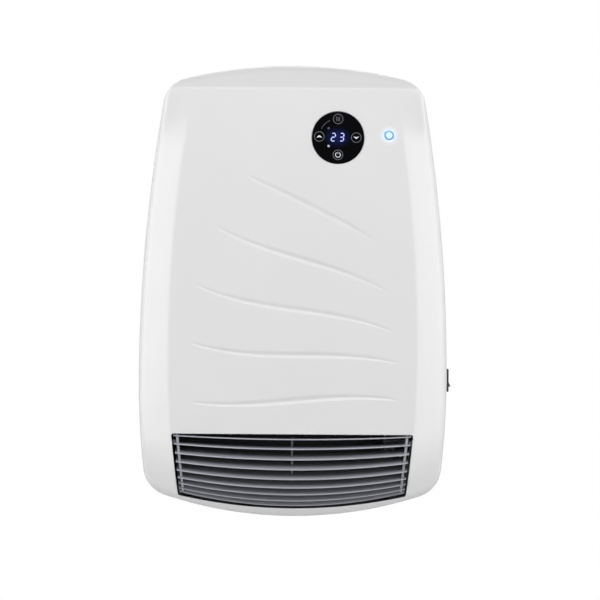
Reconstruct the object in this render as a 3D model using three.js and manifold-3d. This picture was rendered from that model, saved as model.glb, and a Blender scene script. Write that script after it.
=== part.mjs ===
// Bathroom wall fan heater: moulded cover with five wave grooves, round touch window,
// louvred outlet, crossflow fan, finned heating element, hung on a sheet steel wall plate.
// Millimetres, +Z up, +X to the right seen from the room. The wall is the plane y = 0 and
// the front looks towards -Y.
import * as THREE from "three";
import { mergeVertices } from "three/addons/utils/BufferGeometryUtils.js";
import Module from "manifold-3d";

const wasm = await Module();
wasm.setup();

// ---------------------------------------------------------------- body outline
const WIDTH_HALF = 150; // widest half width of the body
const WIDEST_Z = -86; // height at which the body is widest
const SIDE_R_UPPER = 1640; // bow of the sides above the widest height
const SIDE_R_LOWER = 770; // bow of the sides below it
const TOP_Z = 219.4; // crown of the top edge
const TOP_R = 450; // bow of the top edge
const TOP_CORNER_R = 21;
const BOTTOM_Z = -218.9; // lowest point of the bottom edge
const BOTTOM_R = 400; // bow of the bottom edge
const BOTTOM_CORNER_R = 16;

// ---------------------------------------------------------------- front cover
const PART_Y = -45; // parting plane between cover and housing
const FRONT_DEPTH = 83; // parting plane to the foremost line of the panel
const CROWN_Z = -60; // height of the foremost line
const PANEL_R_UP = 3300; // bow of the panel from top to bottom
const PANEL_R_ACROSS = 2500; // bow of the panel from side to side
const CREASE_HALF = WIDTH_HALF - 30.7; // half width of the panel at its widest
const CREASE_Z = -55;
const CREASE_R = 1370; // bow of the creases beside the panel
const CREASE_SOFT = 3; // softness of the creases
const BAND_SLOPE = 0.577; // side bands fall away by 30 degrees
const BAND_FADE_LOW = 150; // the bands start to fade here
const BAND_FADE_HIGH = 184; // and are gone here
const ROLL_TOP = 22; // radius that the top edge rolls over with
const ROLL_BOTTOM = 52; // radius of the roll under the front
const EDGE_R = 4; // radius along the sides
const DRAFT = 2.2; // the cover walls lean in by this much
const REVEAL = 1.2; // step from the housing in to the cover
const WALL = 2.6; // wall of the mouldings
const GAP = 0.3; // clearance between neighbouring pieces
const SPINE = 0.62; // share of the height that the middle line of the cover mesh takes

// ---------------------------------------------------------------- wave grooves
const GROOVE_WIDTH = 9;
const GROOVE_DEPTH = 1.3;
const GROOVE_TAPER = 0.6; // how quickly the grooves thin out towards their ends
const GROOVES = [
  // four places along each centre line, [x, z]
  [[-46, 111], [-4.7, 91.5], [36.7, 71.5], [78, 49]],
  [[-74, 61], [-18, 38], [37, 21.8], [93, -1.5]],
  [[-92, 4.5], [-28.7, -13.4], [34, -22.4], [97, -39]],
  [[-99, -50], [-31.8, -61], [35.3, -61.9], [102.5, -69]],
  [[-96, -107.2], [-29.8, -108.1], [36.3, -102.5], [102.5, -104.4]],
];

// ---------------------------------------------------------------- display and light
const DISPLAY_X = WIDTH_HALF - 108;
const DISPLAY_Z = 147.4;
const LENS_R = 25; // round touch window
const LENS_PROUD = 0.5;
const LENS_THICK = 3.1;
const LIP_WIDTH = 3; // ledge that the window rests on
const COLLAR_WALL = 3; // ring behind the window
const COLLAR_DEPTH = 4.5;
const DIGIT_HEIGHT = 8.8;
const DIGIT_WIDTH = 5.2;
const DIGIT_STROKE = 1.1;
const DIGIT_PITCH = 7;
const DIGIT_THICK = 0.4;
const MODULE_SIZE = [22, 5.4, 14];
const BOARD_THICK = 1.6;
const DISPLAY_BOARD = [92, 44]; // width and height
const DISPLAY_BOARD_SHIFT = 17; // its middle lies this far to the right of the window
const LIGHT_X = DISPLAY_X + 49;
const LIGHT_Z = 150;
const LIGHT_R = 5;
const LIGHT_LENGTH = 8;
const POST_R = 3; // posts that hold the display board

// ---------------------------------------------------------------- air outlet
const OUTLET_TOP_Z = -138.9;
const OUTLET_TOP_HALF = WIDTH_HALF - 32;
const OUTLET_LOW_Z = -198; // height of the lower corners
const OUTLET_LOW_HALF = OUTLET_TOP_HALF - 8.4;
const OUTLET_MID_Z = -211.6; // lowest point of the bowed lower edge
const SLATS = 9;
const SLAT_FIRST_Z = -144.4;
const SLAT_PITCH = 9.3; // along the rolled front
const SLAT_THICK = 1.6;
const SLAT_CHORD = 14;
const SLAT_RECESS = 2; // front edges lie this far inside the cover's face
const SLAT_BOW = 2.9; // rise of the first slat from its middle to its ends
const SLAT_BOW_STEP = 1.3; // each next slat bows more
const SLAT_END_GAP = 4.5; // from the slat ends to the edge of the outlet
const RIB_THICK = 2;
const RIB_INSET = 1; // end ribs stand this far in from the slat ends
const RIB_SHY = 5; // the middle rib stays this far behind the slats' front edges
const LUG_CLEAR = 2.4; // lugs behind the bent edge of the cover
const LUG_REACH = 4; // they pass the outlet's side by this much
const LUG_DROP = 8; // and lie this far below its top edge

// ---------------------------------------------------------------- rear housing
const FLOOR_FRONT_Y = -11.5; // inside face of the back wall
const FLOOR_BACK_Y = -9; // outside face of the back wall
const SKIRT_Y = -1; // the skirt ends just off the wall
const SKIRT_WALL = 5;
const REAR_TAPER = 4; // the housing narrows by this much towards the wall
const LIP_HEIGHT = 3; // locating lip inside the cover's rim
const LIP_WALL = 1.2;
const LIP_CLEAR = 0.9; // the cover's wall leans in over the lip
const STRAIGHT_Y = -16; // the housing's sides are straight up to here

// ---------------------------------------------------------------- fan
const FAN_Y = -60;
const FAN_Z = -72;
const FAN_R = 32;
const BLADE_DEPTH = 9; // from the blades' outer to their inner edges
const BLADE_THICK = 0.9;
const BLADES = 16;
const DISC_THICK = 1.6;
const DUCT_LEFT = 32 - WIDTH_HALF; // inside of the left end plate, 32 from the body's side
const DUCT_RIGHT = WIDTH_HALF - 64; // the motor stands between the right end plate and the side
const ROTOR_END_GAP = 6; // from the rotor's ends to the end plates
const ROTOR_LEFT = DUCT_LEFT + ROTOR_END_GAP;
const ROTOR_RIGHT = DUCT_RIGHT - ROTOR_END_GAP;
const HUB_R = 8;
const HUB_LENGTH = 14;
const BORE_DEEP = 11; // depth of the hubs' bores
const PIN_R = 2;
const SHAFT_R = 2.5;
const BUSH_R = 5; // bearing bush where it passes through the end plate
const BUSH_FLANGE_R = 7;
const BUSH_LENGTH = 7;
const SHAFT_WAY_R = 10; // hole in the other end plate that the shaft passes
const PLATE_THICK = 2;
const SCROLL_GAP = 4;
const SCROLL_GROW = 14;
const SCROLL_THICK = 2;

// ---------------------------------------------------------------- motor
const STATOR_X = DUCT_RIGHT + 11;
const STATOR_STACK = 18;
const STATOR_HALF = 25;
const STATOR_BELOW = 20;
const STATOR_ABOVE = 44;
const LEG = 9;
const BORE_R = 13.5;
const COIL_WALL = 6;
const BRACKET_THICK = 1.6;

// ---------------------------------------------------------------- heating element
const ELEMENT_Y = -83;
const ELEMENT_Z = -128;
const ELEMENT_TILT = 27; // degrees
const ELEMENT_DEPTH = 14;
const BAR_HEIGHT = 6;
const FIN_HEIGHT = 17;
const FIN_PITCH = 11;
const FIN_THICK = 0.8;
const END_BLOCK = 7; // thickness of the holders at its ends
const HOLDER_RIM = 2.4;

// ---------------------------------------------------------------- power board
const BOARD_X = 50 - WIDTH_HALF; // left edge of the board
const BOARD_Z = 42;
const BOARD_SIZE = [92, 104];
const BOARD_Y = -40;
const STANDOFF_R = 3.5;
const TRANSFORMER = 28; // width and height

// ---------------------------------------------------------------- mains entry and switch
const SWITCH_Y = -25;
const SWITCH_CUT = [12.8, 19.2]; // depth and height of the opening
const BEZEL = [15, 22.4, 2]; // depth, height, thickness
const ROCKER = [10.6, 15.2]; // depth and height of the rocker
const SWITCH_DEEP = 20;
const ROCKER_TILT = 9; // degrees either side of level
const GROMMET_X = WIDTH_HALF - 44;
const GROMMET_Z = -158;
const GROMMET_R = 7;
const TERMINAL = [44, 17, 22]; // width, depth, height
const TERMINAL_X = WIDTH_HALF - 36;
const TERMINAL_Z = -118;
const TERMINAL_PITCH = 14;
const CLAMP_Z = -141;

// ---------------------------------------------------------------- filter
const FILTER_HALF = 92;
const FILTER_Y = -26;
const FILTER_WIDTH = 24;
const FILTER_DEEP = 14; // height of the cassette's sides
const FILTER_SKIN = 2.2; // wall of the cassette
const FILTER_SLOTS = 8;
const FILTER_BAR = 3; // bars between the slots
const PLEAT = 10; // pitch of the filter's pleats
const PLEAT_HEIGHT = 6;

// ---------------------------------------------------------------- wall plate and screws
const PLATE = 1.5;
const PLATE_HALF = 92;
const PLATE_LOW_Z = -108;
const PLATE_HIGH_Z = 138;
const HOOK_X = 70;
const HOOK_Z = [-2, 112];
const HOOK_WIDTH = 16;
const TONGUE_HALF = 16;
const TAB_Z = -201;
const KEYHOLE_R = 2.6;
const SCREW_R = 1.75;
const SCREW_HEAD_R = 3.6;
const SCREW_LENGTH = 22;
const SCREW_HIGH = [WIDTH_HALF - 38, 168]; // places of the cover screws, x and z
const SCREW_LOW = [WIDTH_HALF - 23, -176];
const SCREWS = [SCREW_HIGH, SCREW_LOW].flatMap(([x, z]) => [
  [-x, z],
  [x, z],
]);
const LOCK_Y = -5; // lock screw through the bottom of the skirt
const LOCK_SEAT_Z = BOTTOM_Z + 4.6;
const BOSS_R = 5;
const BOSS_MEET_Y = -34; // housing bosses and cover bosses meet here

const RAD = Math.PI / 180;
const root = new THREE.Group();

// ================================================================ solids
// A closed body from a geometry. The matrix is applied once the corners are welded.
function solid(geometry, matrix = new THREE.Matrix4()) {
  let g = geometry.index ? geometry.toNonIndexed() : geometry.clone();
  g.deleteAttribute("normal");
  g.deleteAttribute("uv");
  g = mergeVertices(g, 1e-4).applyMatrix4(matrix);
  const ix = g.index.array;
  const p = g.attributes.position.array;
  const tri = [];
  let volume = 0;
  for (let i = 0; i < ix.length; i += 3) {
    const [a, b, c] = [ix[i], ix[i + 1], ix[i + 2]];
    if (a === b || b === c || a === c) continue;
    tri.push(a, b, c);
    const [va, vb, vc] = [a, b, c].map((k) => new THREE.Vector3().fromArray(p, 3 * k));
    volume += va.dot(vb.cross(vc));
  }
  if (volume < 0) tri.reverse();
  return new wasm.Manifold(
    new wasm.Mesh({ numProp: 3, vertProperties: p, triVerts: new Uint32Array(tri) }),
  );
}

function piece(name, body, color, roughness = 0.5, metalness = 0) {
  const m = body.getMesh();
  const g = new THREE.BufferGeometry();
  g.setAttribute("position", new THREE.BufferAttribute(new Float32Array(m.vertProperties), 3));
  g.setIndex(new THREE.BufferAttribute(new Uint32Array(m.triVerts), 1));
  const mesh = new THREE.Mesh(g, new THREE.MeshStandardMaterial({ color, roughness, metalness }));
  mesh.name = name;
  root.add(mesh);
  return mesh;
}

const join = (...bodies) => bodies.flat().reduce((a, b) => a.add(b));
const cut = (body, ...tools) => tools.flat().reduce((a, b) => a.subtract(b), body);

// Box from its low corner to its high corner.
function boxGeometry(x0, x1, y0, y1, z0, z1) {
  const g = new THREE.BoxGeometry(Math.abs(x1 - x0), Math.abs(y1 - y0), Math.abs(z1 - z0));
  return g.translate((x0 + x1) / 2, (y0 + y1) / 2, (z0 + z1) / 2);
}
const box = (...ends) => solid(boxGeometry(...ends));

// Rod between two values along an axis: "x", "y" or "z"; a and b are its other two places.
function rodGeometry(axis, r, from, to, a, b, sides = 18) {
  const g = new THREE.CylinderGeometry(r, r, Math.abs(to - from), sides);
  const mid = (from + to) / 2;
  if (axis === "x") return g.rotateZ(Math.PI / 2).translate(mid, a, b);
  if (axis === "y") return g.translate(a, mid, b);
  return g.rotateX(Math.PI / 2).translate(a, b, mid);
}
const rod = (...values) => solid(rodGeometry(...values));

// Prisms: a closed outline in the two other axes, swept along the named axis.
function prismGeometry(points, from, to, x, y, z, origin) {
  const shape = new THREE.Shape(points.map(([a, b]) => new THREE.Vector2(a, b)));
  const g = new THREE.ExtrudeGeometry(shape, { depth: to - from, bevelEnabled: false });
  return g.applyMatrix4(new THREE.Matrix4().makeBasis(x, y, z).setPosition(origin));
}
const X = new THREE.Vector3(1, 0, 0);
const Y = new THREE.Vector3(0, 1, 0);
const Z = new THREE.Vector3(0, 0, 1);
const prismXGeometry = (points, x0, x1) =>
  prismGeometry(points, x0, x1, Y, Z, X, new THREE.Vector3(x0, 0, 0));
const prismX = (points, x0, x1) => solid(prismXGeometry(points, x0, x1));
const prismYGeometry = (points, y0, y1) =>
  prismGeometry(points, y0, y1, X, Z, Y.clone().negate(), new THREE.Vector3(0, y1, 0));
const prismY = (points, y0, y1) => solid(prismYGeometry(points, y0, y1));

// Rings of points joined into one closed body; flat fans close the ends unless told not to.
function loft(rings, closeStart = true, closeEnd = true, matrix = undefined) {
  const n = rings[0].length;
  const vertices = rings.flat();
  const index = [];
  for (let j = 0; j + 1 < rings.length; j++)
    for (let i = 0; i < n; i++) {
      const k = (i + 1) % n;
      const [a, b, c, d] = [j * n + i, j * n + k, (j + 1) * n + k, (j + 1) * n + i];
      index.push(a, b, c, a, c, d);
    }
  const fan = (j, turned) => {
    const middle = new THREE.Vector3();
    rings[j].forEach((v) => middle.addScaledVector(v, 1 / n));
    const m = vertices.push(middle) - 1;
    for (let i = 0; i < n; i++) {
      const k = (i + 1) % n;
      if (turned) index.push(m, j * n + k, j * n + i);
      else index.push(m, j * n + i, j * n + k);
    }
  };
  if (closeStart) fan(0, true);
  if (closeEnd) fan(rings.length - 1, false);
  const g = new THREE.BufferGeometry().setFromPoints(vertices);
  g.setIndex(index);
  return solid(g, matrix);
}

function roundedRect(w, h, r, cx = 0, cz = 0, steps = 2) {
  const points = [];
  [[1, 1], [-1, 1], [-1, -1], [1, -1]].forEach(([sx, sz], q) => {
    for (let i = 0; i <= steps; i++) {
      const a = (q + i / steps) * (Math.PI / 2);
      const x = cx + sx * (w / 2 - r) + r * Math.cos(a);
      points.push([x, cz + sz * (h / 2 - r) + r * Math.sin(a)]);
    }
  });
  return points;
}

// ================================================================ outline of the body
// Centre of the circle that rounds the corner between two arcs, inside both.
function cornerCentre(c1, r1, c2, r2, r, up) {
  const [ra, rb] = [r1 - r, r2 - r];
  const [dx, dz] = [c2[0] - c1[0], c2[1] - c1[1]];
  const d = Math.hypot(dx, dz);
  const along = (ra * ra - rb * rb + d * d) / (2 * d);
  const off = Math.sqrt(ra * ra - along * along);
  const spots = [1, -1].map((s) => [
    c1[0] + (dx * along - s * dz * off) / d,
    c1[1] + (dz * along + s * dx * off) / d,
  ]);
  return spots.sort((a, b) => up * (b[1] - a[1]))[0];
}

const TOP_CENTRE = [0, TOP_Z - TOP_R];
const BOTTOM_CENTRE = [0, BOTTOM_Z + BOTTOM_R];
const UPPER_CENTRE = [WIDTH_HALF - SIDE_R_UPPER, WIDEST_Z];
const LOWER_CENTRE = [WIDTH_HALF - SIDE_R_LOWER, WIDEST_Z];
const angleFrom = (c, p) => Math.atan2(p[1] - c[1], p[0] - c[0]);

// Places round the body from the middle of the bottom edge, up the right side, over the
// top and down the left side: [x, z, outward x, outward z].
function outlinePlaces(share) {
  const low = cornerCentre(
    LOWER_CENTRE, SIDE_R_LOWER, BOTTOM_CENTRE, BOTTOM_R, BOTTOM_CORNER_R, -1,
  );
  const high = cornerCentre(UPPER_CENTRE, SIDE_R_UPPER, TOP_CENTRE, TOP_R, TOP_CORNER_R, 1);
  const lowBottom = angleFrom(BOTTOM_CENTRE, low);
  const lowSide = angleFrom(LOWER_CENTRE, low);
  const highSide = angleFrom(UPPER_CENTRE, high);
  const highTop = angleFrom(TOP_CENTRE, high);
  const arcs = [
    [BOTTOM_CENTRE, BOTTOM_R, -Math.PI / 2, lowBottom, 4],
    [low, BOTTOM_CORNER_R, lowBottom, lowSide, 4],
    [LOWER_CENTRE, SIDE_R_LOWER, lowSide, 0, 5],
    [UPPER_CENTRE, SIDE_R_UPPER, 0, highSide, 5],
    [high, TOP_CORNER_R, highSide, highTop, 4],
    [TOP_CENTRE, TOP_R, highTop, Math.PI / 2, 3],
  ];
  const right = [];
  for (const [c, r, from, to, steps] of arcs) {
    const n = Math.max(1, Math.round(steps * share));
    for (let i = 0; i < n; i++) {
      const a = from + ((to - from) * i) / n;
      const [cos, sin] = [Math.cos(a), Math.sin(a)];
      right.push([c[0] + r * cos, c[1] + r * sin, cos, sin]);
    }
  }
  right.push([0, TOP_Z, 0, 1]);
  const left = right.slice(1, -1).reverse();
  return right.concat(left.map(([x, z, nx, nz]) => [-x, z, -nx, nz]));
}
const PLACES = outlinePlaces(1);

const outlineAt = (inset) => PLACES.map(([x, z, nx, nz]) => [x - nx * inset, z - nz * inset]);
const ringAt = (inset, y) => outlineAt(inset).map(([x, z]) => new THREE.Vector3(x, y, z));

// ================================================================ shape of the front
// How far a rolled edge falls back at a distance from the edge.
function roll(distance, r) {
  const d = Math.min(Math.max(r - distance, 0), r);
  return r - Math.sqrt(r * r - d * d);
}

function bandShare(z) {
  const t = THREE.MathUtils.clamp((BAND_FADE_HIGH - z) / (BAND_FADE_HIGH - BAND_FADE_LOW), 0, 1);
  return t * t * (3 - 2 * t);
}
const creaseHalf = (z) => CREASE_HALF - (z - CREASE_Z) ** 2 / (2 * CREASE_R);

// Depth of the cover's face in front of the parting plane; inset 0 is the outer face.
function frontDepth(x, z, inset = 0) {
  const edge = REVEAL + DRAFT + inset;
  const panel = (z - CROWN_Z) ** 2 / (2 * PANEL_R_UP) + x ** 2 / (2 * PANEL_R_ACROSS);
  const past = Math.abs(x) - creaseHalf(z) + inset * 0.25;
  const band = BAND_SLOPE * bandShare(z) * 0.5 * (past + Math.hypot(past, CREASE_SOFT));
  const low = BOTTOM_CENTRE[1] - Math.sqrt((BOTTOM_R - edge) ** 2 - x ** 2);
  const high = TOP_CENTRE[1] + Math.sqrt((TOP_R - edge) ** 2 - x ** 2);
  const rolls = roll(z - low, ROLL_BOTTOM - inset) + roll(high - z, ROLL_TOP - inset);
  return FRONT_DEPTH - inset - panel - band - rolls;
}
const frontY = (x, z, inset = 0) => PART_Y - frontDepth(x, z, inset);

// Seat on the cover's face: a matrix whose -Y points out of the face there.
function seatOn(x, z) {
  const slope = (dx, dz) => frontY(x + dx, z + dz) - frontY(x - dx, z - dz);
  const normal = new THREE.Vector3(slope(1, 0) / 2, -1, slope(0, 1) / 2).normalize();
  const turn = new THREE.Quaternion().setFromUnitVectors(new THREE.Vector3(0, -1, 0), normal);
  const at = new THREE.Vector3(x, frontY(x, z), z);
  return new THREE.Matrix4().compose(at, turn, new THREE.Vector3(1, 1, 1));
}

function coverRings(inset, baseY, edgeSteps, bandSteps, panelSteps) {
  const edge = REVEAL + DRAFT + inset;
  const r = EDGE_R - Math.min(inset, EDGE_R - 1);
  const rings = [ringAt(REVEAL + inset, baseY)];
  const at = (x, z, fall) => new THREE.Vector3(x, frontY(x, z, inset) + fall, z);
  for (let k = 0; k <= edgeSteps; k++) {
    const in_ = r * (1 - Math.cos((Math.PI / 2) * (k / edgeSteps)));
    rings.push(outlineAt(edge + in_).map(([x, z]) => at(x, z, roll(in_, r))));
  }
  // From the edge over the band to the crease, then over the panel to the spine.
  const inwards = (band, panel) =>
    outlineAt(edge + r).map(([x, z]) => {
      const beside = Math.max(1 - creaseHalf(z) / Math.max(Math.abs(x), 1), 0.05);
      const crease = THREE.MathUtils.lerp(0.12, beside, bandShare(z));
      const g = crease * band + (1 - crease) * panel;
      return at(x * (1 - g), z * (1 - g + g * SPINE), 0);
    });
  for (let k = 1; k <= bandSteps; k++) rings.push(inwards(k / bandSteps, 0));
  for (let k = 1; k <= panelSteps; k++) rings.push(inwards(1, (k / panelSteps) ** 1.25));
  return rings;
}

// ================================================================ front cover
function along(four, t) {
  // smooth line through four places at t = 0, 1/3, 2/3 and 1
  const s = 3 * t;
  const weights = [
    -((s - 1) * (s - 2) * (s - 3)) / 6,
    (s * (s - 2) * (s - 3)) / 2,
    -(s * (s - 1) * (s - 3)) / 2,
    (s * (s - 1) * (s - 2)) / 6,
  ];
  return [0, 1].map((k) => four.reduce((sum, p, i) => sum + p[k] * weights[i], 0));
}

function grooveCutter(four, steps = 7) {
  const rings = [];
  for (let i = 0; i <= steps; i++) {
    const t = i / steps;
    const [x, z] = along(four, t);
    const [xa, za] = along(four, Math.max(t - 0.01, 0));
    const [xb, zb] = along(four, Math.min(t + 0.01, 1));
    const length = Math.hypot(xb - xa, zb - za);
    const [ux, uz] = [-(zb - za) / length, (xb - xa) / length];
    const size = Math.max(Math.sin(Math.PI * t), 0.04) ** GROOVE_TAPER;
    const [w, d] = [(GROOVE_WIDTH / 2) * size, GROOVE_DEPTH * size];
    const profile = [[-w * 1.3, -0.7 * d], [-w * 0.35, 0.9 * d], [w * 0.35, 0.9 * d]];
    profile.push([w * 1.3, -0.7 * d]);
    rings.push(
      profile.map(([off, deep]) => {
        const [px, pz] = [x + ux * off, z + uz * off];
        return new THREE.Vector3(px, frontY(px, pz) + deep, pz);
      }),
    );
  }
  return loft(rings);
}

function outletOutline(grow = 0) {
  const half = OUTLET_LOW_HALF + grow;
  const points = [
    [OUTLET_TOP_HALF + grow, OUTLET_TOP_Z + grow],
    [-OUTLET_TOP_HALF - grow, OUTLET_TOP_Z + grow],
  ];
  const steps = 8;
  for (let i = 0; i <= steps; i++) {
    const x = half * ((2 * i) / steps - 1);
    const bow = (OUTLET_LOW_Z - OUTLET_MID_Z) * (x / half) ** 2;
    points.push([x, OUTLET_MID_Z - grow + bow]);
  }
  return points;
}

const displaySeat = seatOn(DISPLAY_X, DISPLAY_Z);
const lightSeat = seatOn(LIGHT_X, LIGHT_Z);
const BOARD_AT = COLLAR_DEPTH + 5; // display board behind the face, along the seat
const boardCorners = [-1, 1].flatMap((sx) =>
  [-1, 1].map((sz) => [
    DISPLAY_BOARD_SHIFT + sx * (DISPLAY_BOARD[0] / 2 - 5),
    sz * (DISPLAY_BOARD[1] / 2 - 5),
  ]),
);

function frontCover() {
  const outer = loft(coverRings(0, PART_Y, 3, 2, 5), true, false);
  const inner = loft(coverRings(WALL, PART_Y + 1, 1, 1, 3), true, false);
  const shell = cut(outer, inner);
  const collar = solid(
    rodGeometry("y", LENS_R + GAP + COLLAR_WALL, 1.2, COLLAR_DEPTH + 1, 0, 0, 32),
    displaySeat,
  );
  const lightTube = solid(
    rodGeometry("y", LIGHT_R + GAP + 1.6, 1.2, COLLAR_DEPTH + 1, 0, 0, 18),
    lightSeat,
  );
  const posts = boardCorners.map(([x, z]) =>
    solid(rodGeometry("y", POST_R, 0.5, BOARD_AT - GAP, x, z, 8), displaySeat),
  );
  const bosses = SCREWS.map(([x, z]) =>
    rod("y", BOSS_R, frontY(x, z) - 5, BOSS_MEET_Y - GAP / 2, x, z, 10),
  );
  const inside = join(collar, lightTube, posts, bosses).intersect(
    join(outer, box(-200, 200, PART_Y - 1, 0, -230, 230)),
  );
  const tools = [
    solid(rodGeometry("y", LENS_R + GAP, -3, LENS_THICK - LENS_PROUD + GAP, 0, 0, 32), displaySeat),
    solid(rodGeometry("y", LENS_R - LIP_WIDTH, -3, 8, 0, 0, 32), displaySeat),
    solid(rodGeometry("y", LIGHT_R + GAP, -3, 8, 0, 0, 18), lightSeat),
    prismY(outletOutline(), PART_Y - FRONT_DEPTH - 10, PART_Y - 15),
    ...GROOVES.map((g) => grooveCutter(g)),
    ...SCREWS.map(([x, z]) => rod("y", SCREW_R + GAP, BOSS_MEET_Y - SCREW_LENGTH, 0, x, z, 10)),
  ];
  piece("front_cover", cut(join(shell, inside), tools), 0xf2f2f0, 0.3);
}

// ================================================================ display and light
// A figure as one outline; low is the side that its lower stroke stands on, -1 or 1.
function digit(name, low, x) {
  const [w, h, s] = [DIGIT_WIDTH / 2, DIGIT_HEIGHT / 2, DIGIT_STROKE];
  const two = [
    [-w, h], [w, h], [w, -s / 2], [s - w, -s / 2], [s - w, s - h], [w, s - h],
    [w, -h], [-w, -h], [-w, s / 2], [w - s, s / 2], [w - s, h - s], [-w, h - s],
  ];
  const three = [
    [-w, h], [w, h], [w, -h], [-w, -h], [-w, s - h], [w - s, s - h],
    [w - s, -s / 2], [-w, -s / 2], [-w, s / 2], [w - s, s / 2], [w - s, h - s], [-w, h - s],
  ];
  const back = LENS_THICK - LENS_PROUD + GAP;
  const outline = (low < 0 ? two : three).map(([px, pz]) => [x + px, pz]);
  const g = prismYGeometry(outline, back, back + DIGIT_THICK);
  piece(name, solid(g, displaySeat), 0xbfd4ff, 0.4);
}

function display() {
  const back = LENS_THICK - LENS_PROUD;
  piece(
    "display_lens",
    solid(rodGeometry("y", LENS_R, -LENS_PROUD, back, 0, 0, 32), displaySeat),
    0x0a0a0c,
    0.1,
  );
  digit("digit_tens", -1, -DIGIT_PITCH / 2);
  digit("digit_units", 1, DIGIT_PITCH / 2);
  const front = back + GAP + DIGIT_THICK + GAP;
  const [mw, , mh] = MODULE_SIZE;
  piece(
    "digit_module",
    solid(boxGeometry(-mw / 2, mw / 2, front, BOARD_AT - GAP, -mh / 2, mh / 2), displaySeat),
    0x151515,
    0.6,
  );
  const [w, h] = DISPLAY_BOARD;
  const board = solid(
    prismYGeometry(
      roundedRect(w, h, 3, DISPLAY_BOARD_SHIFT, 0),
      BOARD_AT,
      BOARD_AT + BOARD_THICK,
    ),
    displaySeat,
  );
  const chip = solid(boxGeometry(20, 30, BOARD_AT + 1, BOARD_AT + 3.2, -5, 5), displaySeat);
  const plug = solid(boxGeometry(-20, -8, BOARD_AT + 1, BOARD_AT + 7, -14, -8), displaySeat);
  piece("display_board", join(board, chip, plug), 0x1f5a3a, 0.6);
}

function statusLight() {
  piece(
    "status_lens",
    solid(rodGeometry("y", LIGHT_R, -0.3, LIGHT_LENGTH, 0, 0, 18), lightSeat),
    0xbfe0ff,
    0.2,
  );
}

// ================================================================ outlet grille
// Front edge of a slat in the middle, on the rolled line that lies just inside the face.
const ROLL_START_Z = BOTTOM_Z + REVEAL + DRAFT + ROLL_BOTTOM;
function slatMiddle(i) {
  const travelled = i * SLAT_PITCH;
  const straight = SLAT_FIRST_Z - ROLL_START_Z;
  const r = ROLL_BOTTOM - SLAT_RECESS;
  const angle = Math.max(0, (travelled - straight) / r);
  const z = angle > 0 ? ROLL_START_Z - r * Math.sin(angle) : SLAT_FIRST_Z - travelled;
  return { z, angle };
}
function outletHalfAt(z) {
  const share = (OUTLET_TOP_Z - z) / (OUTLET_TOP_Z - OUTLET_LOW_Z);
  return OUTLET_TOP_HALF + (OUTLET_LOW_HALF - OUTLET_TOP_HALF) * share;
}
const slatBow = (i) => SLAT_BOW + i * SLAT_BOW_STEP;
const slatZ = (i, x) => slatMiddle(i).z + slatBow(i) * (x / OUTLET_LOW_HALF) ** 2;

const slatHalf = (i) => outletHalfAt(slatMiddle(i).z + slatBow(i)) - SLAT_END_GAP;

function slat(i) {
  const { angle } = slatMiddle(i);
  const half = slatHalf(i);
  const steps = 6;
  const rings = [];
  for (let k = 0; k <= steps; k++) {
    const x = half * ((2 * k) / steps - 1);
    const zFront = slatZ(i, x);
    const yFront = frontY(x, zFront) + SLAT_RECESS;
    const [cos, sin] = [Math.cos(angle), Math.sin(angle)];
    const t = SLAT_THICK / 2;
    const corner = (deep, side) =>
      new THREE.Vector3(x, yFront + deep * cos - side * sin, zFront + deep * sin + side * cos);
    rings.push([corner(0, -t * 0.6), corner(SLAT_CHORD, -t), corner(SLAT_CHORD, t), corner(0, t * 0.6)]);
  }
  return loft(rings);
}

// Rib across the slats: place gives its distance from the middle at each slat.
function rib(place, front, back) {
  const rings = [];
  for (let i = 0; i < SLATS; i++) {
    const x = place(i);
    const { angle } = slatMiddle(i);
    const z = slatZ(i, x);
    const y = frontY(x, z) + SLAT_RECESS;
    const [cos, sin] = [Math.cos(angle), Math.sin(angle)];
    const lift = i === 0 ? SLAT_THICK : i === SLATS - 1 ? -SLAT_THICK : 0;
    const corner = (side, deep) =>
      new THREE.Vector3(
        x + (side * RIB_THICK) / 2, y + deep * cos - lift * sin, z + deep * sin + lift * cos,
      );
    rings.push([corner(-1, front), corner(1, front), corner(1, back), corner(-1, back)]);
  }
  return loft(rings);
}

function outletGrille() {
  const slats = [];
  for (let i = 0; i < SLATS; i++) slats.push(slat(i));
  const back = SLAT_CHORD + 1;
  const middle = rib(() => 0, RIB_SHY, back);
  const ends = [-1, 1].map((side) => rib((i) => side * (slatHalf(i) - RIB_INSET), 1.5, back));
  const lugs = [-1, 1].map((side) => {
    const x0 = side * (slatHalf(1) - RIB_INSET);
    const x1 = side * (OUTLET_TOP_HALF + LUG_REACH);
    const z = OUTLET_TOP_Z - LUG_DROP;
    const y = frontY(x1, z - 2, WALL) + LUG_CLEAR;
    return box(Math.min(x0, x1), Math.max(x0, x1), y, y + 8, z - 2, z + 2);
  });
  piece("outlet_grille", join(slats, ends, middle, lugs), 0x8c9098, 0.45);
}

// ================================================================ rear housing
const topZ = (x, inset) => TOP_CENTRE[1] + Math.sqrt((TOP_R - inset) ** 2 - x * x);
const standoffs = [
  [BOARD_X + 6, BOARD_Z + 6],
  [BOARD_X + BOARD_SIZE[0] - 6, BOARD_Z + 6],
  [BOARD_X + 6, BOARD_Z + BOARD_SIZE[1] - 6],
  [BOARD_X + BOARD_SIZE[0] - 6, BOARD_Z + BOARD_SIZE[1] - 6],
];

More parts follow.
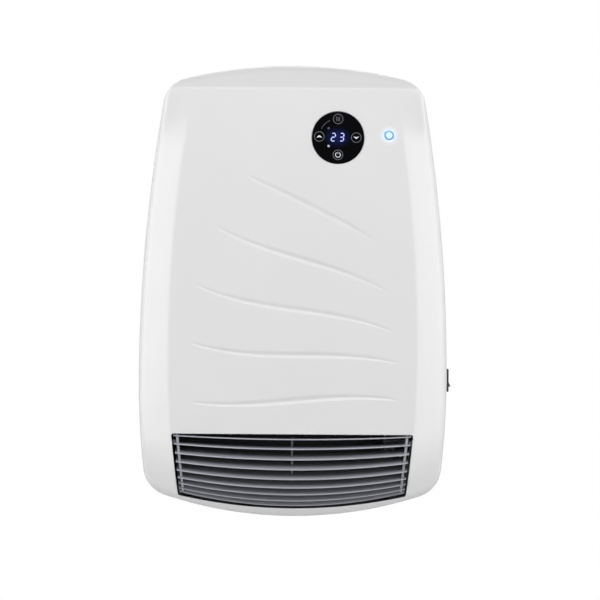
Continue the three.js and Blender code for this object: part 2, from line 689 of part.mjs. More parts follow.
function rearHousing() {
  const body = loft([
    ringAt(0, PART_Y + GAP),
    ringAt(0, STRAIGHT_Y),
    ringAt(REAR_TAPER * 0.3, FLOOR_FRONT_Y),
    ringAt(REAR_TAPER, SKIRT_Y),
  ]);
  const inside = loft([
    ringAt(WALL + REVEAL, PART_Y - 1),
    ringAt(WALL + REVEAL + 0.8, FLOOR_FRONT_Y),
  ]);
  const behind = loft([
    ringAt(REAR_TAPER + SKIRT_WALL - 2, FLOOR_BACK_Y),
    ringAt(REAR_TAPER + SKIRT_WALL - 2, 1),
  ]);
  const lipIn = WALL + REVEAL + LIP_CLEAR;
  const lip = cut(
    join(
      loft([ringAt(lipIn, PART_Y - LIP_HEIGHT), ringAt(lipIn, PART_Y + 3)]),
      loft([ringAt(WALL, PART_Y + GAP), ringAt(WALL, PART_Y + 3)]),
    ),
    loft([ringAt(lipIn + LIP_WALL, PART_Y - 9), ringAt(lipIn + LIP_WALL, PART_Y + 9)]),
  );
  const bosses = SCREWS.map(([x, z]) =>
    rod("y", BOSS_R, BOSS_MEET_Y + GAP / 2, FLOOR_FRONT_Y + 1, x, z, 10),
  );
  const boardPosts = standoffs.map(([x, z]) =>
    rod("y", STANDOFF_R, BOARD_Y + BOARD_THICK / 2 + GAP, FLOOR_FRONT_Y + 1, x, z, 10),
  );
  const [f0, f1] = [FILTER_Y - FILTER_WIDTH / 2, FILTER_Y + FILTER_WIDTH / 2];
  const ledges = [-1, 1].map((side) => {
    const x0 = side * (FILTER_HALF - 4);
    const x1 = side * (FILTER_HALF + 5);
    const z = topZ(FILTER_HALF, 0) - FILTER_DEEP - GAP;
    const ends = [Math.min(x0, x1), Math.max(x0, x1)];
    return box(...ends, f0 - 2, FLOOR_FRONT_Y + 1, z - 3, z);
  });
  const tools = [
    box(-FILTER_HALF - GAP, FILTER_HALF + GAP, f0 - GAP, f1 + GAP, topZ(FILTER_HALF, 0) - 12, 240),
    ...SCREWS.map(([x, z]) => rod("y", SCREW_R + GAP, -60, 0, x, z, 10)),
    ...SCREWS.map(([x, z]) => rod("y", SCREW_HEAD_R + GAP, FLOOR_FRONT_Y - 6, 0, x, z, 10)),
    ...hookPlaces.map(([x, z]) => {
      const w = HOOK_WIDTH / 2 + 1.5;
      return box(x - w, x + w, FLOOR_FRONT_Y - 1, FLOOR_BACK_Y + 1, z - 2, z + 16);
    }),
    rod("y", GROMMET_R - 1.6 + GAP, -20, 0, GROMMET_X, GROMMET_Z, 18),
    box(GROMMET_X - 7, GROMMET_X + 7, FLOOR_BACK_Y + 0.5, 1, -230, GROMMET_Z - 20),
    box(
      WIDTH_HALF - 12, WIDTH_HALF + 3,
      SWITCH_Y - SWITCH_CUT[0] / 2, SWITCH_Y + SWITCH_CUT[0] / 2,
      WIDEST_Z - SWITCH_CUT[1] / 2, WIDEST_Z + SWITCH_CUT[1] / 2,
    ),
    rod("z", SCREW_R + GAP, -230, TAB_Z - 2, 0, LOCK_Y, 8),
    rod("z", SCREW_HEAD_R + GAP, -230, LOCK_SEAT_Z, 0, LOCK_Y, 14),
  ];
  const lugs = join(bosses, boardPosts, ledges).intersect(body);
  piece("rear_housing", cut(join(cut(body, inside, behind), lip, lugs), tools), 0xececea, 0.45);
}

// ================================================================ wall plate and screws
const hookPlaces = HOOK_Z.flatMap((z) => [
  [-HOOK_X, z],
  [HOOK_X, z],
]);

function wallPlate() {
  const sheet = prismY(
    roundedRect(2 * PLATE_HALF, PLATE_HIGH_Z - PLATE_LOW_Z, 8, 0, (PLATE_HIGH_Z + PLATE_LOW_Z) / 2),
    -PLATE,
    0,
  );
  const tongue = box(-TONGUE_HALF, TONGUE_HALF, -PLATE, 0, TAB_Z, PLATE_LOW_Z + 5);
  const tab = box(-TONGUE_HALF, TONGUE_HALF, -8.2, 0, TAB_Z, TAB_Z + PLATE);
  const hooks = hookPlaces.flatMap(([x, z]) => {
    const [x0, x1] = [x - HOOK_WIDTH / 2, x + HOOK_WIDTH / 2];
    const reach = FLOOR_FRONT_Y - GAP - PLATE;
    return [box(x0, x1, reach, 0, z, z + PLATE), box(x0, x1, reach, reach + PLATE, z, z + 12)];
  });
  const holes = [-1, 1].flatMap((sx) =>
    [PLATE_LOW_Z + 22, PLATE_HIGH_Z - 22].flatMap((z) => [
      rod("y", KEYHOLE_R * 1.9, -3, 1, sx * 48, z - 7, 10),
      box(sx * 48 - KEYHOLE_R, sx * 48 + KEYHOLE_R, -3, 1, z - 7, z),
      rod("y", KEYHOLE_R, -3, 1, sx * 48, z, 8),
    ]),
  );
  const tapped = rod("z", SCREW_R + GAP, TAB_Z - 1, TAB_Z + 3, 0, LOCK_Y, 8);
  piece("wall_plate", cut(join(sheet, tongue, tab, hooks), holes, tapped), 0xa9adb2, 0.4, 1);
}

function screw(name, axis, headFrom, headTo, tip, a, b) {
  const head = rod(axis, SCREW_HEAD_R, headFrom, headTo, a, b, 12);
  const shank = rod(axis, SCREW_R, (headFrom + headTo) / 2, tip, a, b, 6);
  const slot = [0, 1].map((turn) => {
    const [l, w, deep] = [2.4, 0.45, 1];
    const outside = Math.abs(headFrom - tip) > Math.abs(headTo - tip) ? headFrom : headTo;
    const [from, to] = [outside - deep, outside + deep];
    const [p, q] = turn ? [l, w] : [w, l];
    if (axis === "y") return box(a - p, a + p, from, to, b - q, b + q);
    return box(a - p, a + p, b - q, b + q, from, to);
  });
  piece(name, cut(join(head, shank), slot), 0x9a9da1, 0.35, 1);
}

function screws() {
  SCREWS.forEach(([x, z], i) => {
    const seat = FLOOR_FRONT_Y - 6 + GAP;
    const tip = BOSS_MEET_Y - SCREW_LENGTH + 1;
    screw("cover_screw_" + (i + 1), "y", seat, seat + 2.4, tip, x, z);
  });
  const seat = LOCK_SEAT_Z - GAP;
  screw("plate_lock_screw", "z", seat - 2.2, seat, TAB_Z + 5, 0, LOCK_Y);
}

// ================================================================ crossflow fan
function bladeOutline(turn) {
  const inner = FAN_R - 1 - BLADE_DEPTH;
  const spots = [0, 0.5, 1].map((t) => {
    const r = inner + BLADE_DEPTH * t;
    return [r, turn + 0.26 * t * t + 0.04 * t];
  });
  const side = (s) =>
    spots.map(([r, a], i) => {
      const lean = i === 2 ? 0.62 : i === 1 ? 0.3 : 0.05;
      const off = (s * BLADE_THICK) / 2;
      const [nx, nz] = [-Math.sin(a + lean), Math.cos(a + lean)];
      return [FAN_Y + r * Math.cos(a) + off * nx, FAN_Z + r * Math.sin(a) + off * nz];
    });
  return side(-1).concat(side(1).reverse());
}

function fanRotor() {
  const discs = [0, 0.5, 1].map((t) => {
    const x = ROTOR_LEFT + (ROTOR_RIGHT - ROTOR_LEFT - DISC_THICK) * t;
    return rod("x", FAN_R, x, x + DISC_THICK, FAN_Y, FAN_Z, 24);
  });
  const blades = [];
  for (let i = 0; i < BLADES; i++)
    blades.push(
      prismX(bladeOutline((i * 2 * Math.PI) / BLADES), ROTOR_LEFT + 0.8, ROTOR_RIGHT - 0.8),
    );
  const hubs = [
    rod("x", HUB_R, ROTOR_LEFT, ROTOR_LEFT + HUB_LENGTH, FAN_Y, FAN_Z, 12),
    rod("x", HUB_R, ROTOR_RIGHT - HUB_LENGTH, ROTOR_RIGHT, FAN_Y, FAN_Z, 12),
  ];
  const bores = [
    rod("x", PIN_R + GAP, ROTOR_LEFT - 1, ROTOR_LEFT + BORE_DEEP, FAN_Y, FAN_Z, 12),
    rod("x", SHAFT_R + GAP, ROTOR_RIGHT - BORE_DEEP, ROTOR_RIGHT + 1, FAN_Y, FAN_Z, 12),
  ];
  piece("fan_rotor", cut(join(discs, blades, hubs), bores), 0x3a3d42, 0.5);
  const bushEnd = DUCT_LEFT - PLATE_THICK - BUSH_LENGTH;
  piece(
    "rotor_pin",
    rod("x", PIN_R, bushEnd + 1, ROTOR_LEFT + BORE_DEEP - 2 * GAP, FAN_Y, FAN_Z, 12),
    0xb0b4b8, 0.3, 1,
  );
  const bush = cut(
    join(
      rod("x", BUSH_FLANGE_R, bushEnd, DUCT_LEFT - PLATE_THICK - GAP, FAN_Y, FAN_Z, 16),
      rod("x", BUSH_R, DUCT_LEFT - PLATE_THICK - 1, DUCT_LEFT + 1, FAN_Y, FAN_Z, 16),
    ),
    rod("x", PIN_R + GAP, bushEnd + 0.5, DUCT_LEFT + 5, FAN_Y, FAN_Z, 12),
  );
  piece("bearing_bush", bush, 0x26262a, 0.8);
}

// Spiral wall behind the rotor, from over its rear round to under it.
function spiral(thick) {
  const points = [];
  for (let i = 0; i <= 12; i++) {
    const t = i / 12;
    const a = (62 - 140 * t) * RAD;
    const r = FAN_R + SCROLL_GAP + SCROLL_GROW * t * t + thick;
    points.push([FAN_Y + r * Math.cos(a), FAN_Z + r * Math.sin(a)]);
  }
  return points;
}
// Duct walls as [y, z] from the fan's axis.
const fromAxis = (points) => points.map(([y, z]) => [FAN_Y + y, FAN_Z + z]);
const DUCT_FLOOR = fromAxis([[-6, -98], [-15, -115]]);
const DUCT_ROOF = fromAxis([[-57, -59], [-44, -33], [-37, -20], [-36.5, -8]]);

function fanHousing() {
  const inner = spiral(0).concat(DUCT_FLOOR);
  const [across, down] = [SCROLL_THICK * 0.9, SCROLL_THICK * 0.5];
  const outer = spiral(SCROLL_THICK).concat(DUCT_FLOOR.map(([y, z]) => [y + across, z - down]));
  const x0 = DUCT_LEFT + GAP;
  const x1 = DUCT_RIGHT - GAP;
  piece("fan_scroll", prismX(inner.concat(outer.reverse()), x0, x1), 0xb9bcc0, 0.4, 1);
  const roofTop = DUCT_ROOF.map(([y, z], i) => [
    y - across, z + (i < DUCT_ROOF.length - 1 ? down : 0),
  ]);
  const roof = DUCT_ROOF.concat(roofTop.reverse());
  piece("fan_tongue", prismX(roof, x0, x1), 0xb9bcc0, 0.4, 1);
}

const FLOOR_Y = FLOOR_FRONT_Y - GAP;
const PLATE_OUTLINE = fromAxis([
  [-55, -61], [-40, -78], [-17, -116], [-2, -102], [20, -58],
  [FLOOR_Y - FAN_Y, -32], [FLOOR_Y - FAN_Y, 14],
  [30, 40], [2, 46], [-28, 32], [-41, 2], [-43, -24], [-59, -56],
]);

function endPlates() {
  const left = cut(
    prismX(PLATE_OUTLINE, DUCT_LEFT - PLATE_THICK, DUCT_LEFT),
    rod("x", BUSH_R + GAP, DUCT_LEFT - 5, DUCT_LEFT + 5, FAN_Y, FAN_Z, 16),
  );
  piece("end_plate_left", left, 0xb9bcc0, 0.4, 1);
  const right = cut(
    prismX(PLATE_OUTLINE, DUCT_RIGHT, DUCT_RIGHT + PLATE_THICK),
    rod("x", SHAFT_WAY_R, DUCT_RIGHT - 5, DUCT_RIGHT + 5, FAN_Y, FAN_Z, 18),
  );
  piece("end_plate_right", right, 0xb9bcc0, 0.4, 1);
}

// ================================================================ motor
function motor() {
  const x0 = STATOR_X;
  const x1 = STATOR_X + STATOR_STACK;
  const at = (y0, y1, z0, z1) => [FAN_Y + y0, FAN_Y + y1, FAN_Z + z0, FAN_Z + z1];
  const stack = box(x0, x1, ...at(-STATOR_HALF, STATOR_HALF, -STATOR_BELOW, STATOR_ABOVE));
  const windowHalf = STATOR_HALF - LEG;
  const opening = box(
    x0 - 1, x1 + 1,
    ...at(-windowHalf, windowHalf, BORE_R + 4.5, STATOR_ABOVE - LEG),
  );
  const bore = rod("x", BORE_R, x0 - 1, x1 + 1, FAN_Y, FAN_Z, 32);
  piece("motor_stator", cut(stack, opening, bore), 0x6b6e73, 0.5, 1);

  const coilHalf = windowHalf - 2;
  const low = STATOR_ABOVE - LEG - COIL_WALL;
  const high = STATOR_ABOVE + COIL_WALL;
  const winding = box(x0 - COIL_WALL, x1 + COIL_WALL, ...at(-coilHalf, coilHalf, low, high));
  const leg = box(
    x0 - GAP, x1 + GAP,
    ...at(-30, 30, STATOR_ABOVE - LEG - GAP, STATOR_ABOVE + GAP),
  );
  const cheeks = [-coilHalf, coilHalf].map((y) =>
    box(
      x0 - COIL_WALL - 1.5, x1 + COIL_WALL + 1.5,
      ...at(y - 0.8, y + 0.8, low - 0.5, high + 1.5),
    ),
  );
  piece("motor_coil", cut(join(winding, cheeks), leg), 0xb8612a, 0.5);

  const armature = cut(
    rod("x", BORE_R - 0.6, x0 + 0.5, x1 - 0.5, FAN_Y, FAN_Z, 28),
    rod("x", SHAFT_R + GAP, x0 - 2, x1 + 2, FAN_Y, FAN_Z, 12),
  );
  piece("motor_armature", armature, 0x8a8d92, 0.4, 1);
  const end = x1 + 8;
  piece("motor_shaft", rod("x", SHAFT_R, ROTOR_RIGHT - BORE_DEEP + 2 * GAP, end, FAN_Y, FAN_Z, 12), 0xc2c5c9, 0.25, 1);

  const bracket = (name, plateFrom, bushTo, legFrom, legTo) => {
    const plateTo = plateFrom + BRACKET_THICK;
    const sheet = box(plateFrom, plateTo, ...at(-STATOR_HALF + 1, STATOR_HALF - 1, -12, 12));
    const dome = rod("x", 7, plateFrom, bushTo, FAN_Y, FAN_Z, 12);
    const legs = [-1, 1].map((s) =>
      rod("x", 3, legFrom, legTo, FAN_Y + s * (STATOR_HALF - 5), FAN_Z, 8),
    );
    const hole = rod("x", SHAFT_R + GAP, plateFrom - 20, plateTo + 20, FAN_Y, FAN_Z, 12);
    piece(name, cut(join(sheet, dome, legs), hole), 0xa6a9ad, 0.4, 1);
  };
  const wall = DUCT_RIGHT + PLATE_THICK + GAP;
  bracket("motor_bracket_inner", x0 - 5, x0 - 1, wall, x0 - GAP);
  bracket("motor_bracket_outer", x1 + 4, x1 + 6.5, x1 + GAP, x1 + 5);
}

// ================================================================ heating element
const elementMatrix = new THREE.Matrix4()
  .makeTranslation(0, ELEMENT_Y, ELEMENT_Z)
  .multiply(new THREE.Matrix4().makeRotationX(-ELEMENT_TILT * RAD));
const ELEMENT_LEFT = DUCT_LEFT + GAP + END_BLOCK;
const ELEMENT_RIGHT = DUCT_RIGHT - GAP - END_BLOCK;

// Corrugated strip that stands on a height and fills the element's depth.
function finStrip(name, low) {
  const [x0, x1] = [ELEMENT_LEFT + 1.5, ELEMENT_RIGHT - 1.5];
  const n = Math.floor((x1 - x0) / (FIN_PITCH / 2));
  const t = (FIN_THICK * FIN_HEIGHT) / FIN_PITCH;
  const d = ELEMENT_DEPTH / 2 - 1;
  const rings = [];
  for (let i = 0; i <= n; i++) {
    const [x, y] = [x0 + (i * (x1 - x0)) / n, i % 2 ? low + FIN_HEIGHT - t : low + t];
    const corners = [[y - t, -d], [y + t, -d], [y + t, d], [y - t, d]];
    rings.push(corners.map(([py, pz]) => new THREE.Vector3(x, py, pz)));
  }
  piece(name, loft(rings, true, true, elementMatrix), 0xb7babf, 0.35, 1);
}

function heatingElement() {
  const [x0, x1] = [ELEMENT_LEFT + GAP, ELEMENT_RIGHT - GAP];
  const bar = boxGeometry(
    x0 - END_BLOCK / 2, x1 + END_BLOCK / 2,
    -BAR_HEIGHT / 2, BAR_HEIGHT / 2,
    -ELEMENT_DEPTH / 2, ELEMENT_DEPTH / 2,
  );
  piece("ptc_bar", solid(bar, elementMatrix), 0xc9ccd0, 0.3, 1);
  finStrip("ptc_fins_rear", BAR_HEIGHT / 2 + GAP);
  finStrip("ptc_fins_front", -BAR_HEIGHT / 2 - GAP - FIN_HEIGHT);
  const reach = BAR_HEIGHT / 2 + GAP + FIN_HEIGHT + HOLDER_RIM;
  const deep = ELEMENT_DEPTH / 2 + HOLDER_RIM;
  const holder = (name, side, wallX, openX) => {
    const block = solid(
      boxGeometry(Math.min(wallX, openX), Math.max(wallX, openX), -reach, reach, -deep, deep),
      elementMatrix,
    );
    const socketEnd = openX - (side * END_BLOCK) / 2 - side * GAP * 2;
    const socket = solid(
      boxGeometry(
        Math.min(openX + side, socketEnd), Math.max(openX + side, socketEnd),
        -BAR_HEIGHT / 2 - GAP, BAR_HEIGHT / 2 + GAP,
        -ELEMENT_DEPTH / 2 - GAP, ELEMENT_DEPTH / 2 + GAP,
      ),
      elementMatrix,
    );
    piece(name, cut(block, socket), 0x2b2b2e, 0.6);
  };
  holder("element_holder_left", 1, DUCT_LEFT + GAP, ELEMENT_LEFT);
  holder("element_holder_right", -1, DUCT_RIGHT - GAP, ELEMENT_RIGHT);
}

// ================================================================ electrics
function powerBoard() {
  const [w, h] = BOARD_SIZE;
  const [y0, y1] = [BOARD_Y - BOARD_THICK / 2, BOARD_Y + BOARD_THICK / 2];
  const sheet = prismY(roundedRect(w, h, 2, BOARD_X + w / 2, BOARD_Z + h / 2), y0, y1);
  const on = (x, z, width, height, tall) =>
    box(BOARD_X + x, BOARD_X + x + width, y0 - tall, y0 + 0.5, BOARD_Z + z, BOARD_Z + z + height);
  const small = [
    on(60, 44, 12, 8, 2.2),
    on(14, 60, 6, 14, 8),
    on(66, 88, 18, 7, 9),
    on(44, 90, 12, 7, 9),
    on(74, 60, 5, 10, 1.6),
    on(28, 66, 12, 4, 4),
  ];
  piece("control_board", join(sheet, small), 0x2a6b45, 0.6);
  const part = (name, x, z, width, height, tall, color) =>
    piece(
      name,
      box(
        BOARD_X + x, BOARD_X + x + width,
        y0 - GAP - tall, y0 - GAP,
        BOARD_Z + z, BOARD_Z + z + height,
      ),
      color,
      0.5,
    );
  part("board_relay_1", 6, 14, 19, 15.5, 15, 0x1b4fa0);
  part("board_relay_2", 6, 36, 19, 15.5, 15, 0x1b4fa0);
  part("board_film_capacitor", 32, 14, 26, 9, 17, 0xd8b21a);
  piece(
    "board_electrolytic",
    rod("y", 5, y0 - GAP - 17, y0 - GAP, BOARD_X + 72, BOARD_Z + 22, 14),
    0x22252b,
    0.4,
  );
  const [tx, tz] = [BOARD_X + 44, BOARD_Z + 40];
  const [half, tall] = [TRANSFORMER / 2, 22];
  const core = cut(
    box(tx - half, tx + half, y0 - tall, y0 - GAP - 2, tz - half + 3, tz + half - 3),
    box(tx - half + 5, tx + half - 5, y0 - tall + 5, y0 - GAP - 7, tz - half, tz + half),
  );
  const coil = box(tx - half / 2, tx + half / 2, y0 - tall + 4, y0 - GAP, tz - half, tz + half);
  piece("board_transformer", join(core, coil), 0x7a5b2a, 0.5);
}

function terminals() {
  const [w, d, h] = TERMINAL;
  const back = FLOOR_FRONT_Y - GAP;
  const block = box(
    TERMINAL_X - w / 2, TERMINAL_X + w / 2, back - d, back, TERMINAL_Z - h / 2, TERMINAL_Z + h / 2,
  );
  const xs = [-1, 0, 1].map((i) => TERMINAL_X + i * TERMINAL_PITCH);
  const wells = xs.map((x) => rod("y", 3 + GAP, back - d - 1, back - 7, x, TERMINAL_Z, 8));
  const ways = xs.flatMap((x) => [-1, 1].map((side) => {
    const z = TERMINAL_Z + (side * h) / 2;
    return rod("z", 2.4, z - 4, z + 4, x, back - 7, 8);
  }));
  piece("terminal_block", cut(block, wells, ways), 0xe4e2d8, 0.5);
  xs.forEach((x, i) => {
    const head = rod("y", 3, back - d + 4, back - 7 - GAP, x, TERMINAL_Z, 12);
    const slot = box(x - 4, x + 4, back - d + 3, back - d + 5, TERMINAL_Z - 0.5, TERMINAL_Z + 0.5);
    piece("terminal_screw_" + (i + 1), cut(head, slot), 0xb9a35c, 0.35, 1);
  });
  const clampBar = box(GROMMET_X - 14, GROMMET_X + 14, back - 8, back, CLAMP_Z - 4, CLAMP_Z + 4);
  const pads = [-1, 1].map((s) => rod("y", 3, back - 9.4, back - 7, GROMMET_X + s * 10, CLAMP_Z, 12));
  const saddle = rod("z", 4, CLAMP_Z - 5, CLAMP_Z + 5, GROMMET_X, back - 1.5, 12);
  piece("cord_clamp", cut(join(clampBar, pads), saddle), 0x2b2b2e, 0.6);
  const throat = GROMMET_R - 1.6;
  const grommet = cut(
    join(
      rod("y", GROMMET_R, FLOOR_FRONT_Y - 2.4, FLOOR_FRONT_Y - GAP, GROMMET_X, GROMMET_Z, 18),
      rod("y", throat, FLOOR_FRONT_Y - 1, FLOOR_BACK_Y + 1, GROMMET_X, GROMMET_Z, 18),
      rod("y", GROMMET_R, FLOOR_BACK_Y + GAP, FLOOR_BACK_Y + 2.2, GROMMET_X, GROMMET_Z, 18),
    ),
    rod("y", 3.4, -20, 0, GROMMET_X, GROMMET_Z, 14),
  );
  piece("cable_grommet", grommet, 0x1c1c1e, 0.8);
}

function mainsSwitch() {
  const [bd, bh, bt] = BEZEL;
  const face = WIDTH_HALF + GAP;
  const [bodyD, bodyH] = SWITCH_CUT.map((v) => v - 2 * GAP);
  const around = (d, h) => [
    SWITCH_Y - d / 2, SWITCH_Y + d / 2, WIDEST_Z - h / 2, WIDEST_Z + h / 2,
  ];
  const body = join(
    box(face, face + bt, ...around(bd, bh)),
    box(face - SWITCH_DEEP, face + 1, ...around(bodyD, bodyH)),
    [-5, 0, 5].map((z) =>
      box(
        face - SWITCH_DEEP - 7, face - SWITCH_DEEP + 1,
        SWITCH_Y - 2.4, SWITCH_Y + 2.4, WIDEST_Z + z - 0.4, WIDEST_Z + z + 0.4,
      ),
    ),
  );
  const [rd, rh] = ROCKER;
  const well = box(face - 10, face + bt + 1, ...around(rd + 2 * GAP, rh + 5 * GAP));
  piece("switch_body", cut(body, well), 0x1a1a1c, 0.45);
  const pivot = face - 2.4;
  const profile = [
    [-5.4, -3], [-5.4, 3], [0, rh / 2 - 1.6], [4.6, rh / 2 - 0.6], [5.3, rh / 2 - 1],
    [3.9, 0], [5.3, 1 - rh / 2], [4.6, 0.6 - rh / 2], [0, 1.6 - rh / 2],
  ];
  const turn = ROCKER_TILT * RAD;
  const tilted = profile.map(([x, z]) => [
    pivot + x * Math.cos(turn) - z * Math.sin(turn),
    WIDEST_Z + x * Math.sin(turn) + z * Math.cos(turn),
  ]);
  piece("switch_rocker", prismY(tilted, SWITCH_Y - rd / 2, SWITCH_Y + rd / 2), 0x101012, 0.35);
}

function safetyParts() {
  const wall = DUCT_LEFT - PLATE_THICK - GAP;
  const [y, z] = [ELEMENT_Y - 1, ELEMENT_Z + 4];
  const cutout = join(
    rod("x", 9, wall - 2, wall, y, z, 18),
    rod("x", 7, wall - 9, wall - 1, y, z, 18),
    [-4, 4].map((off) => box(wall - 15, wall - 8, y + off - 0.4, y + off + 0.4, z - 3, z + 3)),
  );
  piece("thermal_cutout", cutout, 0x2e2a26, 0.5);
  const fuseZ = FAN_Z - 68;
  const fuse = join(
    rod("z", 2.2, fuseZ - 6, fuseZ + 6, wall - 3.2, FAN_Y, 12),
    rod("z", 0.6, fuseZ - 16, fuseZ + 16, wall - 3.2, FAN_Y, 8),
    box(wall - 4, wall, FAN_Y - 4, FAN_Y, fuseZ - 2, fuseZ + 2),
  );
  piece("thermal_fuse", fuse, 0xd9d4c6, 0.5);
}

// ================================================================ intake filter
function filterCassette() {
  const base = topZ(FILTER_HALF, 0) - FILTER_DEEP;
  const [y0, y1] = [FILTER_Y - FILTER_WIDTH / 2 + GAP, FILTER_Y + FILTER_WIDTH / 2 - GAP];
  const arch = (half, inset, low) => {
    const points = [[half, low], [-half, low]];
    for (let i = 0; i <= 8; i++) {
      const x = half * (i / 4 - 1);
      points.push([x, topZ(x, inset)]);
    }
    return points;
  };
  const block = prismY(arch(FILTER_HALF, 0, base), y0, y1);
  const hollow = prismY(
    arch(FILTER_HALF - FILTER_SKIN, FILTER_SKIN, base - 5),
    y0 + FILTER_SKIN,
    y1 - FILTER_SKIN,
  );
  const room = 2 * (FILTER_HALF - FILTER_SKIN - 3);
  const pitch = room / FILTER_SLOTS;
  const slots = [];
  for (let i = 0; i < FILTER_SLOTS; i++) {
    const x = -room / 2 + (i + 0.5) * pitch;
    const half = (pitch - FILTER_BAR) / 2;
    slots.push(box(x - half, x + half, y0 + 2 * FILTER_SKIN, y1 - 2 * FILTER_SKIN, 190, 240));
  }
  piece("filter_cassette", cut(block, hollow, slots), 0xe6e6e2, 0.45);
  const half = FILTER_HALF - FILTER_SKIN - GAP;
  const n = 2 * Math.floor(half / PLEAT) * 2;
  const rings = [];
  for (let i = 0; i <= n; i++) {
    const x = half * ((2 * i) / n - 1) * 0.985;
    const z = base + 0.6 + (i % 2 ? PLEAT_HEIGHT : 0);
    const [a, b] = [y0 + FILTER_SKIN + GAP, y1 - FILTER_SKIN - GAP];
    const corners = [[a, 0], [b, 0], [b, 0.8], [a, 0.8]];
    rings.push(corners.map(([y, up]) => new THREE.Vector3(x, y, z + up)));
  }
  piece("filter_mesh", loft(rings), 0x3c4046, 0.9);
}

// ================================================================ export
frontCover();
display();
statusLight();
outletGrille();
rearHousing();
wallPlate();
screws();
fanRotor();
fanHousing();
endPlates();
motor();
heatingElement();
powerBoard();
terminals();
mainsSwitch();
safetyParts();
filterCassette();

export default root;
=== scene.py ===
import math

import bmesh
import bpy
import numpy as np
from mathutils import Matrix, Vector
from mathutils.geometry import delaunay_2d_cdt


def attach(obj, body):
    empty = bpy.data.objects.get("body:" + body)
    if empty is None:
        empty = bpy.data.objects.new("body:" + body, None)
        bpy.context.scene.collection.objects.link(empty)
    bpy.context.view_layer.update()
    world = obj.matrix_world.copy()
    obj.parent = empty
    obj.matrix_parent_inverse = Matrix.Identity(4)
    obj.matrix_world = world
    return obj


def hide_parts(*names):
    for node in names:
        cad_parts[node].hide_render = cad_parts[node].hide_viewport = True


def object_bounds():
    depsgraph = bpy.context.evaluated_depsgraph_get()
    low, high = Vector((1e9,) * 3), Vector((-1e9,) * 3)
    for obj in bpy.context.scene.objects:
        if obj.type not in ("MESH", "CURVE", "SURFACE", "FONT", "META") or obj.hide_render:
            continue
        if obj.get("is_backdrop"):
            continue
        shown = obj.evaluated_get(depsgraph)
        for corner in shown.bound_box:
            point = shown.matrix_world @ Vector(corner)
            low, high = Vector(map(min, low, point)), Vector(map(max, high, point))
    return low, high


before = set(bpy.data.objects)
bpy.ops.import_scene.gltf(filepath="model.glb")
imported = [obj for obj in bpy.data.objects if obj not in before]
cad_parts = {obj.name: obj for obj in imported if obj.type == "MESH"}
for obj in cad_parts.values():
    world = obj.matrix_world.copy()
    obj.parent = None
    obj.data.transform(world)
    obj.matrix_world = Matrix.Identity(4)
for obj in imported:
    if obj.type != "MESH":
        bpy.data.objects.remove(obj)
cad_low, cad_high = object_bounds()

# Sizes are in millimetres, +Z up, the wall is the plane y = 0 and the front looks to -Y.
# Meshes are made in millimetres and scaled once, in build_mesh(). Materials, lamps and camera are in metres.
MM = 0.001

# ---- body outline
WIDTH_HALF = 150  # widest half width
WIDEST_Z = -86
SIDE_R_UPPER = 1640  # bow of the sides above the widest height
SIDE_R_LOWER = 770  # and below it
TOP_Z = 219.4
TOP_R = 450
TOP_CORNER_R = 28
BOTTOM_Z = -218.9
BOTTOM_R = 400
BOTTOM_CORNER_R = 31
TOP_CENTRE = (0, TOP_Z - TOP_R)
BOTTOM_CENTRE = (0, BOTTOM_Z + BOTTOM_R)
UPPER_CENTRE = (WIDTH_HALF - SIDE_R_UPPER, WIDEST_Z)
LOWER_CENTRE = (WIDTH_HALF - SIDE_R_LOWER, WIDEST_Z)

# ---- front cover
PART_Y = -45  # parting plane between cover and housing
FRONT_DEPTH = 83  # from there to the foremost line of the panel
CROWN_Z = -60  # height of that line
PANEL_R_UP = 3300  # bow of the panel from top to bottom
PANEL_R_ACROSS = 2500  # and from side to side
CREASE_HALF = 119.3  # half width of the panel between its creases
CREASE_Z = -55
CREASE_R = 1370
CREASE_SOFT = 1.1
CREASE_SHIFT = 0.25  # the crease of the inner face lies further in by this share of the wall
BAND_SLOPE = 0.577  # side bands fall away by 30 degrees
BAND_FADE_LOW = 138
BAND_FADE_HIGH = 190
TOP_SLOPE_Z = 195  # above this height the face slopes back to the top edge
TOP_SOFT = 0.5
ROLL_BOTTOM = 52  # radius of the roll under the front
EDGE_R = 4
DRAFT = 2.2  # the cover's walls lean in by this much
REVEAL = 1.2  # step from the housing in to the cover
EDGE = REVEAL + DRAFT  # inset of the face's edge
WALL = 2.6
GAP = 0.3  # clearance between neighbouring pieces

# ---- grooves
GROOVE_ABOVE = 4.8  # width of the bank above the bottom line
GROOVE_BELOW = 3.0
GROOVE_TIP = 0.35  # share of the width that is left at the ends
GROOVE_DEPTH = 1.9
GROOVE_TAPER = 0.6
GROOVE_ROUND = 1.2  # above 1 the bottom line is narrow, and the banks are wide
GROOVE_SAMPLES = 400
GROOVES = (
    ((-46, 111), (-4.7, 91.5), (36.7, 71.5), (78, 49)),
    ((-74, 61), (-18, 38), (37, 21.8), (93, -1.5)),
    ((-92, 4.5), (-28.7, -13.4), (34, -22.4), (97, -39)),
    ((-99, -50), (-31.8, -61), (35.3, -61.9), (102.5, -69)),
    ((-96, -107.2), (-29.8, -108.1), (36.3, -102.5), (102.5, -104.4)),
)

# ---- window and light
DISPLAY_X = 42
DISPLAY_Z = 147.4
LENS_R = 25
LENS_PROUD = 0.5
LENS_THICK = 3.1
LENS_BACK = LENS_THICK - LENS_PROUD
LIP_WIDTH = 3
COLLAR_WALL = 3
COLLAR_DEPTH = 5.5
WINDOW_SIDES = 96  # places round the window's opening
LIGHT_X = 91
LIGHT_Z = 150
LIGHT_R = 5
LIGHT_LENGTH = 8
LIGHT_SIDES = 48
TUBE_WALL = 1.6

